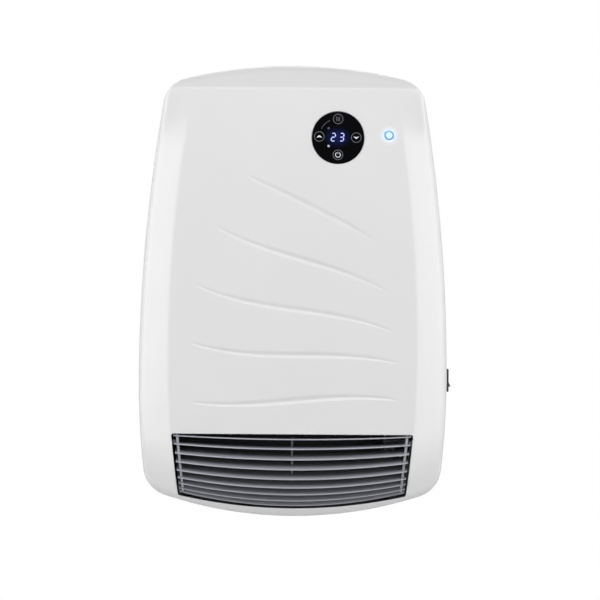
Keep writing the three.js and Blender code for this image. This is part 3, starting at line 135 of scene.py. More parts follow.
# ---- outlet and its grille
OUTLET_TOP_Z = -137.4
OUTLET_TOP_HALF = 116.2
OUTLET_LOW_Z = -197.6
OUTLET_LOW_HALF = 109.9
OUTLET_MID_Z = -209.4  # lowest point of the bowed lower edge
OUTLET_CORNER_R = 2.2
CORNER_ROOM = 4  # the sides leave this much of their ends to the round corners
SLATS = 9
SLAT_FIRST_Z = -144.4
SLAT_LIFT = (2.0, 1.8, 0.9, 0.5, 0.0, 0.0, 0.7, 0.9, 1.2)  # the slats stand this far above an even pitch
SLAT_TILT = (2, 10, 22, 29, 35, 41, 47, 53, 60)  # degrees that each slat rises towards its back
SLAT_PITCH = 9.3
SLAT_THICK = 1.6
SLAT_CHORD = 14
SLAT_RECESS = 2  # front edges lie this far inside the cover's face
SLAT_BOW = 2.9  # rise of the first slat from its middle to its ends
SLAT_BOW_STEP = 1.3  # each next slat bows more
SLAT_END_GAP = 4.5  # from the end ribs to the edge of the outlet
SLAT_END_REACH = 1.9  # the slats run on to this far from it
RIB_THICK = 2
RIB_INSET = 1
RIB_SHY = 9  # the middle rib stays this far behind the slats' front edges
END_RIB_THICK = 2.4
END_RIB_SHY = 1.2
LUG_CLEAR = 2.4  # lugs behind the bent edge of the cover
LUG_REACH = 4
LUG_DROP = 8
LUG_SIZE = (8, 4)  # depth and height
ROLL_START_Z = BOTTOM_Z + EDGE + ROLL_BOTTOM

# ---- rear housing
FLOOR_FRONT_Y = -11.5  # inside face of the back wall
FLOOR_BACK_Y = -9  # its outside face
SKIRT_Y = -1
SKIRT_WALL = 5
REAR_TAPER = 4
STRAIGHT_Y = -16
LIP_HEIGHT = 3
LIP_IN = 4.7
LIP_WALL = 1.2
BOSS_R = 5
BOSS_MEET_Y = -34
SCREW_R = 1.75
SCREW_HEAD_R = 3.6
SCREWS = [(s * x, z) for x, z in ((112, 168), (127, -176)) for s in (-1, 1)]
HOOKS = [(s * 70, z) for z in (-2, 112) for s in (-1, 1)]
HOOK_HALF = 9.5
HOOK_SLOT = (-2, 16)  # from the hook's place down and up
GROMMET = (106, -158)
GROMMET_WAY_R = 5.7
CABLE_WAY_HALF = 7
CABLE_WAY_DROP = 20  # the way for a cable starts this far below the grommet
LOCK_Y = -5
LOCK_SEAT_Z = BOTTOM_Z + 4.6
BELOW_ALL = -230  # cuts that leave the body at its bottom end here
ABOVE_ALL = 240

# ---- filter
FILTER_HALF = 92
FILTER_Y = -26
FILTER_WIDTH = 24
FILTER_DEEP = 14
FILTER_SKIN = 2.2
FILTER_SLOTS = 8
FILTER_BAR = 3
FILTER_END = 3  # solid ends beside the slots
FILTER_SLOT_R = 2.2
LEDGE_THICK = 3

# ---- switch
SWITCH_Y = -25
SWITCH_CUT = (12.8, 19.2)  # depth and height of the opening
BEZEL = (15, 22.4, 2)  # depth, height and thickness
ROCKER = (10.6, 15.2)
ROCKER_TILT = 9
SWITCH_DEEP = 20
PIVOT_DEEP = 2.4
WELL_DEEP = 10

# ---- marks on the window, in millimetres from its middle
FACE = -LENS_PROUD  # local depth of the window's face
MARK_RAISE = 0.04
MARK_SINK = 0.15
KEYS = {"top": (0, 18.0), "left": (-18.0, 1.0), "right": (17.5, 0.2), "bottom": (0, -16.5)}
KEY_R = 4.65
KEY_LINE = 0.55
WAVE_HALF = 1.9
WAVE_PITCH = 1.45
WAVE_SWING = 0.32
WAVE_TURNS = 2.6
WAVE_LINE = 0.5
ROW_R = 18.3  # a row of small dots runs along this radius
ROW_FROM, ROW_TO, ROW_DOTS = 117, 150, 8
ROW_DOT_R = 0.42
DOT_R = 1.15
CHEVRON = ((-2.6, -0.85), (-2.2, -1.05), (0, -0.35), (2.2, -1.05), (2.6, -0.85), (0.35, 1.15), (-0.35, 1.15))
POWER_R = 2.35
POWER_OPEN = 32  # degrees that the power sign's ring is open on either side
DIGITS = (("digit_tens", -4.5, "abged"), ("digit_units", 3.6, "abgcd"))  # node, place and lit strokes
DIGIT_HALF = 1.8
DIGIT_RISE = 3.7
DIGIT_Z = 0.5
DIGIT_SLANT = 0.09
DIGIT_LINE = 0.85

# ---- stage, in metres
WORLD_LOW = 0.38  # strength of the fill light from below
WORLD_HIGH = 0.14  # and from above
FLOOR_Z = -0.75
FLOOR_HALF = 4.0
FLOOR_GLOW = 0.1
FLOOR_GLOW_SEEN = 0.42
CAMERA_DISTANCE = 5.0
CAMERA_X, CAMERA_Z = 0.0066, -0.0085
CAMERA_TURN = 0.4  # degrees that the photograph leans to the right
FRAME_WIDTH = 0.5844  # width of the view at the heater
SENSOR = 36
LAMPS = (  # azimuth and elevation in degrees, distance, size and power; azimuth 0 is in front of the heater
    ("lamp_top", 0, 43, 3.2, 1.6, 54),
    ("lamp_left", -80, 8, 2.2, 1.3, 20.5),
    ("lamp_right", 80, 8, 2.2, 1.3, 19.5),
)


# ---------------------------------------------------------------- shape of the body
def corner_centre(c1, r1, c2, r2, r, up):
    """Centre of the circle that rounds the corner between two arcs, inside both."""
    ra, rb = r1 - r, r2 - r
    dx, dz = c2[0] - c1[0], c2[1] - c1[1]
    d = math.hypot(dx, dz)
    along = (ra * ra - rb * rb + d * d) / (2 * d)
    off = math.sqrt(ra * ra - along * along)
    spots = [
        (c1[0] + (dx * along - s * dz * off) / d, c1[1] + (dz * along + s * dx * off) / d)
        for s in (1, -1)
    ]
    return max(spots, key=lambda p: up * p[1])


def outline_places():
    """Places round the body, anticlockwise from the middle of the bottom: x, z and the outward normal."""
    low = corner_centre(LOWER_CENTRE, SIDE_R_LOWER, BOTTOM_CENTRE, BOTTOM_R, BOTTOM_CORNER_R, -1)
    high = corner_centre(UPPER_CENTRE, SIDE_R_UPPER, TOP_CENTRE, TOP_R, TOP_CORNER_R, 1)

    def angle(c, p):
        return math.atan2(p[1] - c[1], p[0] - c[0])

    arcs = (
        (BOTTOM_CENTRE, BOTTOM_R, -math.pi / 2, angle(BOTTOM_CENTRE, low), 30),
        (low, BOTTOM_CORNER_R, angle(BOTTOM_CENTRE, low), angle(LOWER_CENTRE, low), 14),
        (LOWER_CENTRE, SIDE_R_LOWER, angle(LOWER_CENTRE, low), 0, 28),
        (UPPER_CENTRE, SIDE_R_UPPER, 0, angle(UPPER_CENTRE, high), 60),
        (high, TOP_CORNER_R, angle(UPPER_CENTRE, high), angle(TOP_CENTRE, high), 16),
        (TOP_CENTRE, TOP_R, angle(TOP_CENTRE, high), math.pi / 2, 28),
    )
    right = []
    for c, r, a0, a1, steps in arcs:
        for i in range(steps):
            a = a0 + (a1 - a0) * i / steps
            right.append((c[0] + r * math.cos(a), c[1] + r * math.sin(a), math.cos(a), math.sin(a)))
    right.append((0, TOP_Z, 0, 1))
    left = [(-x, z, -nx, nz) for x, z, nx, nz in reversed(right[1:-1])]
    return np.array(right + left, float)


PLACES = outline_places()


def outline_at(inset):
    """The outline, drawn in by one inset or by an inset for each place."""
    return PLACES[:, :2] - PLACES[:, 2:] * np.reshape(inset, (-1, 1))


def top_z(x, inset=0.0):
    return TOP_CENTRE[1] + math.sqrt((TOP_R - inset) ** 2 - x * x)


def roll(distance, r):
    """How far a quarter round of radius r has fallen at a distance from its edge."""
    d = np.clip(r - distance, 0, r)
    return r - np.sqrt(r * r - d * d)


def soft_ramp(past, soft):
    """0 before a line and rising evenly after it, with a soft start."""
    return 0.5 * (past + np.hypot(past, soft))


def band_share(z):
    t = np.clip((BAND_FADE_HIGH - z) / (BAND_FADE_HIGH - BAND_FADE_LOW), 0, 1)
    return t * t * (3 - 2 * t)


def crease_half(z):
    return CREASE_HALF - (z - CREASE_Z) ** 2 / (2 * CREASE_R)


def plain_y(x, z, inset=0.0):
    """y of the cover's face without its grooves; inset 0 is the outer face and WALL the inner one."""
    edge = EDGE + inset
    panel = (z - CROWN_Z) ** 2 / (2 * PANEL_R_UP) + x ** 2 / (2 * PANEL_R_ACROSS)
    past = np.abs(x) - crease_half(z) + inset * CREASE_SHIFT
    band = BAND_SLOPE * band_share(z) * soft_ramp(past, CREASE_SOFT)
    low = BOTTOM_CENTRE[1] - np.sqrt((BOTTOM_R - edge) ** 2 - x ** 2)
    rolls = roll(z - low, ROLL_BOTTOM - inset) + soft_ramp(z - TOP_SLOPE_Z, TOP_SOFT)
    return PART_Y - (FRONT_DEPTH - inset - panel - band - rolls)


def groove_line(four, t):
    """Smooth line through four places at t = 0, 1/3, 2/3 and 1."""
    s = 3 * t
    weights = (
        -(s - 1) * (s - 2) * (s - 3) / 6,
        s * (s - 2) * (s - 3) / 2,
        -s * (s - 1) * (s - 3) / 2,
        s * (s - 1) * (s - 2) / 6,
    )
    return np.array([sum(w * p[k] for w, p in zip(weights, four)) for k in (0, 1)]).T


def groove_frames(four, n):
    """Places along a groove with the unit direction across it, pointing up, and its size there."""
    t = np.linspace(0, 1, n)
    p = groove_line(four, t)
    d = np.gradient(p, axis=0)
    d /= np.linalg.norm(d, axis=1)[:, None]
    across = np.stack([-d[:, 1], d[:, 0]], 1)
    across *= np.sign(across[:, 1])[:, None]
    return p, across, np.maximum(np.sin(math.pi * t), 0.0) ** GROOVE_TAPER


def bank_width(side, size):
    """Width of a groove's bank, which narrows towards its ends."""
    return side * (GROOVE_TIP + (1 - GROOVE_TIP) * size)


def groove_depth(x, z):
    """How deep the grooves are at each place: a soft line with a wide bank above it."""
    reach, slack = 9, 0.35  # how far a groove is looked for, and how far its ends reach past it
    depth = np.zeros_like(x)
    for four in GROOVES:
        p, across, size = groove_frames(four, GROOVE_SAMPLES)
        near = (z < p[:, 1].max() + reach) & (z > p[:, 1].min() - reach)
        q = np.stack([x[near], z[near]], 1)
        d2 = ((q[:, None, :] - p[None, :, :]) ** 2).sum(2)
        k = d2.argmin(1)
        off = ((q - p[k]) * across[k]).sum(1)
        s = np.maximum(size[k], 1e-3)
        u = np.clip(np.abs(off) / bank_width(np.where(off > 0, GROOVE_ABOVE, GROOVE_BELOW), s), 0, 1)
        shape = (0.5 + 0.5 * np.cos(math.pi * u)) ** GROOVE_ROUND
        beside = np.sqrt(d2.min(1)) <= np.abs(off) + slack
        depth[near] = np.maximum(depth[near], np.where(beside, GROOVE_DEPTH * s * shape, 0))
    return depth


def seat_on(x, z):
    """Matrix of a seat on the face: its -Y points out of the face there."""
    def slope(dx, dz):
        return (plain_y(x + dx, z + dz) - plain_y(x - dx, z - dz)) / 2
    normal = Vector((slope(1, 0), -1, slope(0, 1))).normalized()
    turn = Vector((0, -1, 0)).rotation_difference(normal)
    return Matrix.Translation((x, float(plain_y(x, z)), z)) @ turn.to_matrix().to_4x4()


DISPLAY_SEAT = seat_on(DISPLAY_X, DISPLAY_Z)
LIGHT_SEAT = seat_on(LIGHT_X, LIGHT_Z)


# ---------------------------------------------------------------- pieces and their meshes
MATERIALS = {}


def build_mesh(name, verts, faces):
    """Mesh in metres from vertices in millimetres, with its faces turned outwards."""
    mesh = bpy.data.meshes.new(name)
    mesh.from_pydata((np.asarray(verts, float) * MM).tolist(), [], [tuple(int(i) for i in f) for f in faces])
    bm = bmesh.new()
    bm.from_mesh(mesh)
    bmesh.ops.remove_doubles(bm, verts=bm.verts, dist=1e-7)
    bmesh.ops.recalc_face_normals(bm, faces=bm.faces)
    bm.to_mesh(mesh)
    bm.free()
    return mesh


def shade(mesh, degrees):
    """Smooth shading, where edges sharper than these degrees stay sharp."""
    mesh.shade_smooth()
    mesh.set_sharp_from_angle(angle=math.radians(degrees))


def dress(mesh, material):
    mesh.materials.clear()
    mesh.materials.append(material)
    mesh.polygons.foreach_set("material_index", [0] * len(mesh.polygons))


def piece(name, shell, finish, node=None, slot=None, body="heater", smooth=35, seat=None):
    """Object of a closed shell in millimetres; seat places a shell that was made on a seat of the face."""
    verts, faces = shell
    if seat is not None:
        m = np.array(seat)
        verts = np.asarray(verts, float) @ m[:3, :3].T + m[:3, 3]
    mesh = build_mesh(name, verts, faces)
    shade(mesh, smooth)
    dress(mesh, MATERIALS[finish])
    obj = bpy.data.objects.new(name, mesh)
    bpy.context.scene.collection.objects.link(obj)
    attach(obj, body)
    slot or finish
    if node:
        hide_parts(node)
    return obj


def settle(obj, degrees):
    """Turn the object's modifiers into its mesh, with the finish that it had."""
    graph = bpy.context.evaluated_depsgraph_get()
    graph.update()
    mesh = bpy.data.meshes.new_from_object(obj.evaluated_get(graph))
    obj.modifiers.clear()
    old = obj.data
    obj.data = mesh
    dress(mesh, old.materials[0])
    bpy.data.meshes.remove(old)
    shade(mesh, degrees)


def shape(obj, adds=(), cuts=()):
    """Join closed shells to an object, then cut others out of it."""
    tools = []
    for operation, shells in (("UNION", adds), ("DIFFERENCE", cuts)):
        for shell in shells:
            tool = bpy.data.objects.new("tool", build_mesh("tool", *shell))
            bpy.context.scene.collection.objects.link(tool)
            tools.append(tool)
            modifier = obj.modifiers.new("tool", "BOOLEAN")
            modifier.operation = operation
            modifier.solver = "MANIFOLD"
            modifier.object = tool
    settle(obj, 30)
    for tool in tools:
        mesh = tool.data
        bpy.data.objects.remove(tool)
        bpy.data.meshes.remove(mesh)


def soften(obj, width):
    """Small radius on every sharp edge."""
    bevel = obj.modifiers.new("soften", "BEVEL")
    bevel.width = width * MM
    bevel.segments = 2
    bevel.limit_method = "ANGLE"
    bevel.angle_limit = math.radians(50)
    settle(obj, 40)


class Shell:
    """Vertices and faces that grow strip by strip."""

    def __init__(self):
        self.verts = []
        self.faces = []

    def __iter__(self):
        return iter((self.verts, self.faces))

    def ring(self, points):
        start = len(self.verts)
        self.verts.extend(tuple(float(c) for c in p) for p in points)
        return list(range(start, len(self.verts)))

    def strip(self, a, b):
        """Closed band between two loops of the same length."""
        n = len(a)
        for i in range(n):
            k = (i + 1) % n
            self.faces.append((a[i], a[k], b[k], b[i]))

    def strips(self, loops):
        for a, b in zip(loops, loops[1:]):
            self.strip(a, b)

    def lid(self, a, middle=None):
        """Fan that closes a loop."""
        if middle is None:
            middle = np.mean([self.verts[i] for i in a], axis=0)
        m = self.ring([middle])[0]
        for i in range(len(a)):
            self.faces.append((a[i], a[(i + 1) % len(a)], m))

    def loft(self, rings):
        loops = [self.ring(r) for r in rings]
        self.strips(loops)
        self.lid(loops[0])
        self.lid(loops[-1])
        return self


def at_depth(loop, y):
    """Places in space of a flat loop, at one depth or at a depth for each place."""
    return np.stack([loop[:, 0], np.full(len(loop), y), loop[:, 1]], 1)


def circle_loop(cx, cz, r, n=WINDOW_SIDES):
    a = np.linspace(0, 2 * math.pi, n, endpoint=False)
    return np.stack([cx + r * np.cos(a), cz + r * np.sin(a)], 1)


def box_shell(x0, x1, y0, y1, z0, z1):
    v = [(x, y, z) for x in (x0, x1) for y in (y0, y1) for z in (z0, z1)]
    f = [(0, 1, 3, 2), (4, 6, 7, 5), (0, 4, 5, 1), (2, 3, 7, 6), (0, 2, 6, 4), (1, 5, 7, 3)]
    return v, f


def rod_shell(axis, r, start, end, a, b):
    """Rod along y or z between two places; a and b are its other two coordinates."""
    ring = circle_loop(0, 0, r, 32)
    place = {
        "y": lambda t, p, q: (a + p, t, b + q),
        "z": lambda t, p, q: (a + p, b + q, t),
    }[axis]
    return Shell().loft([[place(t, p, q) for p, q in ring] for t in (start, end)])


def prism_shell(points, y0, y1):
    """Closed outline in x and z between two depths, with plain end faces."""
    n = len(points)
    verts = [(x, y, z) for y in (y0, y1) for x, z in points]
    faces = [tuple(range(n)), tuple(range(2 * n - 1, n - 1, -1))]
    faces += [(i, (i + 1) % n, n + (i + 1) % n, n + i) for i in range(n)]
    return verts, faces


def rounded_rect(w, h, r, cx=0.0, cz=0.0, steps=6):
    points = []
    for sx, sz, start in ((1, 1, 0), (-1, 1, 90), (-1, -1, 180), (1, -1, 270)):
        for i in range(steps + 1):
            a = math.radians(start + 90 * i / steps)
            points.append((cx + sx * (w / 2 - r) + r * math.cos(a), cz + sz * (h / 2 - r) + r * math.sin(a)))
    return points


def turned(profile, sides):
    """Body turned about the local Y axis; profile is a list of (radius, y) from axis to axis."""
    shell = Shell()
    angles = np.linspace(0, 2 * math.pi, sides, endpoint=False)
    loops = [shell.ring([(r * math.cos(a), y, r * math.sin(a)) for a in angles]) for r, y in profile[1:-1]]
    shell.strips(loops)
    shell.lid(loops[0], (0, profile[0][1], 0))
    shell.lid(loops[-1], (0, profile[-1][1], 0))
    return shell


# ---------------------------------------------------------------- flat triangles
def inside(points, loop):
    """Which points lie inside a closed loop."""
    x, z = points[:, 0], points[:, 1]
    found = np.zeros(len(points), bool)
    for (a, b), (c, d) in zip(loop, np.roll(loop, -1, axis=0)):
        if b != d:
            found ^= ((b > z) != (d > z)) & (x < (c - a) * (z - b) / (d - b) + a)
    return found


def distance_to(points, loop):
    """Distance from each point to a closed loop."""
    best = np.full(len(points), 1e9)
    for p, q in zip(loop, np.roll(loop, -1, axis=0)):
        d = q - p
        t = np.clip(((points - p) @ d) / max(d @ d, 1e-12), 0, 1)
        gap = points - (p + t[:, None] * d)
        best = np.minimum(best, np.hypot(gap[:, 0], gap[:, 1]))
    return best


def between(points, loops):
    """Which points lie inside the first loop and outside the others."""
    ok = inside(points, loops[0])
    for loop in loops[1:]:
        ok &= ~inside(points, loop)
    return ok


def clear_of(points, loops, margin):
    """The points between the loops that keep a margin to each of them."""
    ok = between(points, loops)
    for loop in loops:
        ok[ok] = distance_to(points[ok], loop) > margin
    return points[ok]


def hex_grid(loop, spacing):
    low, high = loop.min(0), loop.max(0)
    rows = []
    for i, z in enumerate(np.arange(low[1], high[1], spacing * math.sqrt(0.75))):
        xs = np.arange(low[0] - (i % 2) * spacing / 2, high[0], spacing)
        rows.append(np.stack([xs, np.full(len(xs), z)], 1))
    return np.concatenate(rows)


def thinned(grid, extra, least):
    """The grid without its points that lie nearer than least to an extra point."""
    size = 3
    cells = {}
    for p in extra:
        cells.setdefault((int(p[0] // size), int(p[1] // size)), []).append(p)
    keep = []
    for p in grid:
        i, k = int(p[0] // size), int(p[1] // size)
        near = [q for a in (-1, 0, 1) for b in (-1, 0, 1) for q in cells.get((i + a, k + b), ())]
        keep.append(all((p[0] - q[0]) ** 2 + (p[1] - q[1]) ** 2 > least ** 2 for q in near))
    return grid[np.array(keep)]


def triangulate(loops, extra, spacing, margin):
    """Triangles between an outer loop, which comes first, and the holes in it, on a grid and extra points.

    Returns the places and the triangles; the first places are those of the loops, in order."""
    grid = thinned(hex_grid(loops[0], spacing), extra, 0.6 * spacing)
    grid = np.concatenate([clear_of(grid, loops, margin), clear_of(extra, loops, 0.25)])
    places, edges = [], []
    for loop in loops:
        start, n = len(places), len(loop)
        places.extend(loop.tolist())
        edges.extend((start + i, start + (i + 1) % n) for i in range(n))
    places.extend(grid.tolist())
    _, _, tris, orig, _, _ = delaunay_2d_cdt([Vector(p) for p in places], edges, [], 0, 1e-6, True)
    first = {new: min(olds) for new, olds in enumerate(orig) if olds}
    tris = np.array([[first[i] for i in t] for t in tris])
    places = np.array(places)
    return places, tris[between(places[tris].mean(1), loops)]


def loop_ids(ids, loops):
    """The first ids, dealt out to the loops that they belong to."""
    ends = np.cumsum([len(loop) for loop in loops])
    return [ids[end - len(loop):end] for end, loop in zip(ends, loops)]


# ---------------------------------------------------------------- front cover
EDGE_ROWS = (0.0, 0.12, 0.32, 0.6, 0.95, 1.4, 1.95, 2.6, 3.3, 4.1)  # rows across the rounded edge
WALL_ROWS = 3  # the first of them belong to the outer wall
OUTLET_FILLET = 0.9
HOLE_FILLET = 0.5
FILLET_STEPS = 5
WALL_STEPS = 9
RIM_CHAMFER = 0.35


def outlet_loop(grow=0.0):
    """Outline of the outlet, grown outwards, with small round corners; anticlockwise."""
    path = []

    def arc(corner, a, b, steps=7):
        """Round a corner between the directions towards a and b."""
        c, a, b = (np.array(p, float) for p in (corner, a, b))
        da, db = (a - c) / np.linalg.norm(a - c), (b - c) / np.linalg.norm(b - c)
        half = math.acos(np.clip(da @ db, -1, 1)) / 2
        t = OUTLET_CORNER_R / math.tan(half)
        centre = c + (da + db) / np.linalg.norm(da + db) * (OUTLET_CORNER_R / math.sin(half))
        a0, a1 = (math.atan2(*(c + d * t - centre)[::-1]) for d in (da, db))
        while a1 < a0:
            a1 += 2 * math.pi
        if a1 - a0 > math.pi:
            a1 -= 2 * math.pi
        for w in np.linspace(a0, a1, steps + 1):
            n = np.array((math.cos(w), math.sin(w)))
            path.append((centre + n * OUTLET_CORNER_R, n))

    def line(a, b, steps):
        a, b = np.array(a, float), np.array(b, float)
        d = (b - a) / np.linalg.norm(b - a)
        a, b = a + d * CORNER_ROOM, b - d * CORNER_ROOM
        for i in range(steps + 1):
            path.append((a + (b - a) * i / steps, np.array((d[1], -d[0]))))

    def bottom(x):
        return OUTLET_MID_Z + (OUTLET_LOW_Z - OUTLET_MID_Z) * (x / OUTLET_LOW_HALF) ** 2

    top_left, top_right = ((s * OUTLET_TOP_HALF, OUTLET_TOP_Z) for s in (-1, 1))
    low_left, low_right = ((s * OUTLET_LOW_HALF, OUTLET_LOW_Z) for s in (-1, 1))
    reach = OUTLET_LOW_HALF - CORNER_ROOM
    arc(top_left, top_right, low_left)
    line(top_left, low_left, 26)
    arc(low_left, top_left, (-reach, bottom(-reach)))
    for x in np.linspace(-reach, reach, 97):
        slope = 2 * (OUTLET_LOW_Z - OUTLET_MID_Z) * x / OUTLET_LOW_HALF ** 2
        path.append((np.array((x, bottom(x))), np.array((slope, -1.0)) / math.hypot(slope, 1)))
    arc(low_right, (reach, bottom(reach)), top_right)
    line(low_right, top_right, 26)
    arc(top_right, low_right, top_left)
    line(top_right, top_left, 96)
    return np.array([p + n * grow for p, n in path])


def groove_points():
    """Rows of places along the grooves, so that their banks are smooth."""
    rows = []
    for four in GROOVES:
        p, across, size = groove_frames(four, int(math.dist(four[0], four[-1]) / 1.6))
        for share in (-1.35, -1, -0.8, -0.6, -0.4, -0.2, 0, 0.14, 0.28, 0.44, 0.6, 0.8, 1, 1.3):
            side = GROOVE_ABOVE if share > 0 else GROOVE_BELOW
            rows.append(p + across * bank_width(share * side, size)[:, None])
    return np.concatenate(rows)


def crease_points():
    """Rows of places along both creases and along the start of the top slope."""
    z = np.arange(-205, 185, 2.4)
    rows = []
    for off in (-4.4, -3, -2, -1.2, -0.6, 0, 0.6, 1.2, 2, 3, 4.4):
        for side in (-1, 1):
            rows.append(np.stack([side * (crease_half(z) + off), z], 1))
    x = np.arange(-128, 129, 2.2)
    for off in (-4, -2.6, -1.6, -0.9, -0.3, 0.3, 0.9, 1.6, 2.6, 4):
        rows.append(np.stack([x, np.full(len(x), TOP_SLOPE_Z + off)], 1))
    return np.concatenate(rows)


def edge_y(p, depth=0.0):
    """Outer face with its rounded edge; depth is that of the grooves."""
    return plain_y(*p.T) + depth + roll(distance_to(p, outline_at(EDGE)), EDGE_R)


def seat_circle(seat, r, deep, count):
    angles = np.linspace(0, 2 * math.pi, count, endpoint=False)
    return [seat @ Vector((r * math.cos(a), deep, r * math.sin(a))) for a in angles]


def front_cover():
    shell = Shell()

    def sheet(loops, extra, spacing, margin, depth, turn):
        """Add a face between loops; returns the vertices of each loop."""
        flat, tris = triangulate(loops, extra, spacing, margin)
        ids = shell.ring(at_depth(flat, depth(flat)))
        shell.faces.extend(tuple(ids[i] for i in t[::turn]) for t in tris)
        return loop_ids(ids, loops)

    # outer wall and the small radius round the face
    outer, base = outline_at(REVEAL), outline_at(EDGE)
    rings = [at_depth(outline_at(REVEAL + RIM_CHAMFER), PART_Y), at_depth(outer, PART_Y + RIM_CHAMFER)]
    fall = plain_y(*base.T) + roll(0.0, EDGE_R)
    for t in np.arange(1, WALL_STEPS) / WALL_STEPS:
        rings.append(at_depth(outer + (base - outer) * t, PART_Y + (fall - PART_Y) * t))
    for d in EDGE_ROWS[:WALL_ROWS]:
        p = outline_at(EDGE + d)
        rings.append(at_depth(p, plain_y(*p.T) + roll(d, EDGE_R)))
    wall = [shell.ring(r) for r in rings]
    shell.strips(wall)
    # the face, down to the rounded edges of its three openings
    window_r, light_r = LENS_R + GAP, LIGHT_R + GAP
    openings = (
        (lambda d: circle_loop(DISPLAY_X, DISPLAY_Z, window_r + d), HOLE_FILLET),
        (lambda d: circle_loop(LIGHT_X, LIGHT_Z, light_r + d, LIGHT_SIDES), HOLE_FILLET),
        (outlet_loop, OUTLET_FILLET),
    )
    loops = [outline_at(EDGE + EDGE_ROWS[WALL_ROWS])] + [make(r) for make, r in openings]
    extra = [outline_at(EDGE + d) for d in EDGE_ROWS[WALL_ROWS + 1:]] + [groove_points(), crease_points()]
    rim, *holes = sheet(loops, np.concatenate(extra), 2.3, 0.9, lambda p: edge_y(p, groove_depth(*p.T)), 1)
    shell.strip(wall[-1], rim)
    for k, (make, r) in enumerate(openings):
        for step in range(1, FILLET_STEPS + 1):
            d = r * (1 - math.sin(math.pi / 2 * step / FILLET_STEPS))
            ring = shell.ring(at_depth(make(d), edge_y(make(d)) + roll(d, r)))
            shell.strip(holes[k], ring)
            holes[k] = ring
    # inner face, coarser, which gives way where the outlet comes near the edge
    free = distance_to(outline_at(0), outlet_loop()) - 2 * GAP
    in_edge = np.minimum(EDGE + WALL, free - GAP)
    collar_r, tube_r = window_r + COLLAR_WALL, light_r + TUBE_WALL
    loops = [
        outline_at(np.minimum(in_edge + 1.0, free)),
        circle_loop(DISPLAY_X, DISPLAY_Z, collar_r),
        circle_loop(LIGHT_X, LIGHT_Z, tube_r, LIGHT_SIDES),
        outlet_loop(),
    ]
    back_rim, *back_holes = sheet(loops, np.zeros((0, 2)), 9.0, 3.0, lambda p: plain_y(*p.T, WALL), -1)
    # collars behind the window and the light, and the wall of the outlet
    rest, ledge_r = LENS_BACK + GAP, window_r - (LIP_WIDTH + GAP)
    collar = ((window_r, rest), (ledge_r, rest), (ledge_r, COLLAR_DEPTH), (collar_r, COLLAR_DEPTH))
    tube = ((light_r, COLLAR_DEPTH), (tube_r, COLLAR_DEPTH))
    for k, (seat, steps) in enumerate(((DISPLAY_SEAT, collar), (LIGHT_SEAT, tube))):
        inner = [shell.ring(seat_circle(seat, r, deep, len(holes[k]))) for r, deep in steps]
        shell.strips([holes[k], *inner, back_holes[k]])
    shell.strip(holes[2], back_holes[2])
    # inner wall down to the rim
    p = outline_at(in_edge)
    upper = shell.ring(at_depth(p, plain_y(*p.T, WALL) + 1.0))
    lower = shell.ring(at_depth(outline_at(REVEAL + WALL), PART_Y))
    shell.strips([back_rim, upper, lower, wall[0]])
    piece("cover_shell", shell, "cover_white", "front_cover", smooth=32)


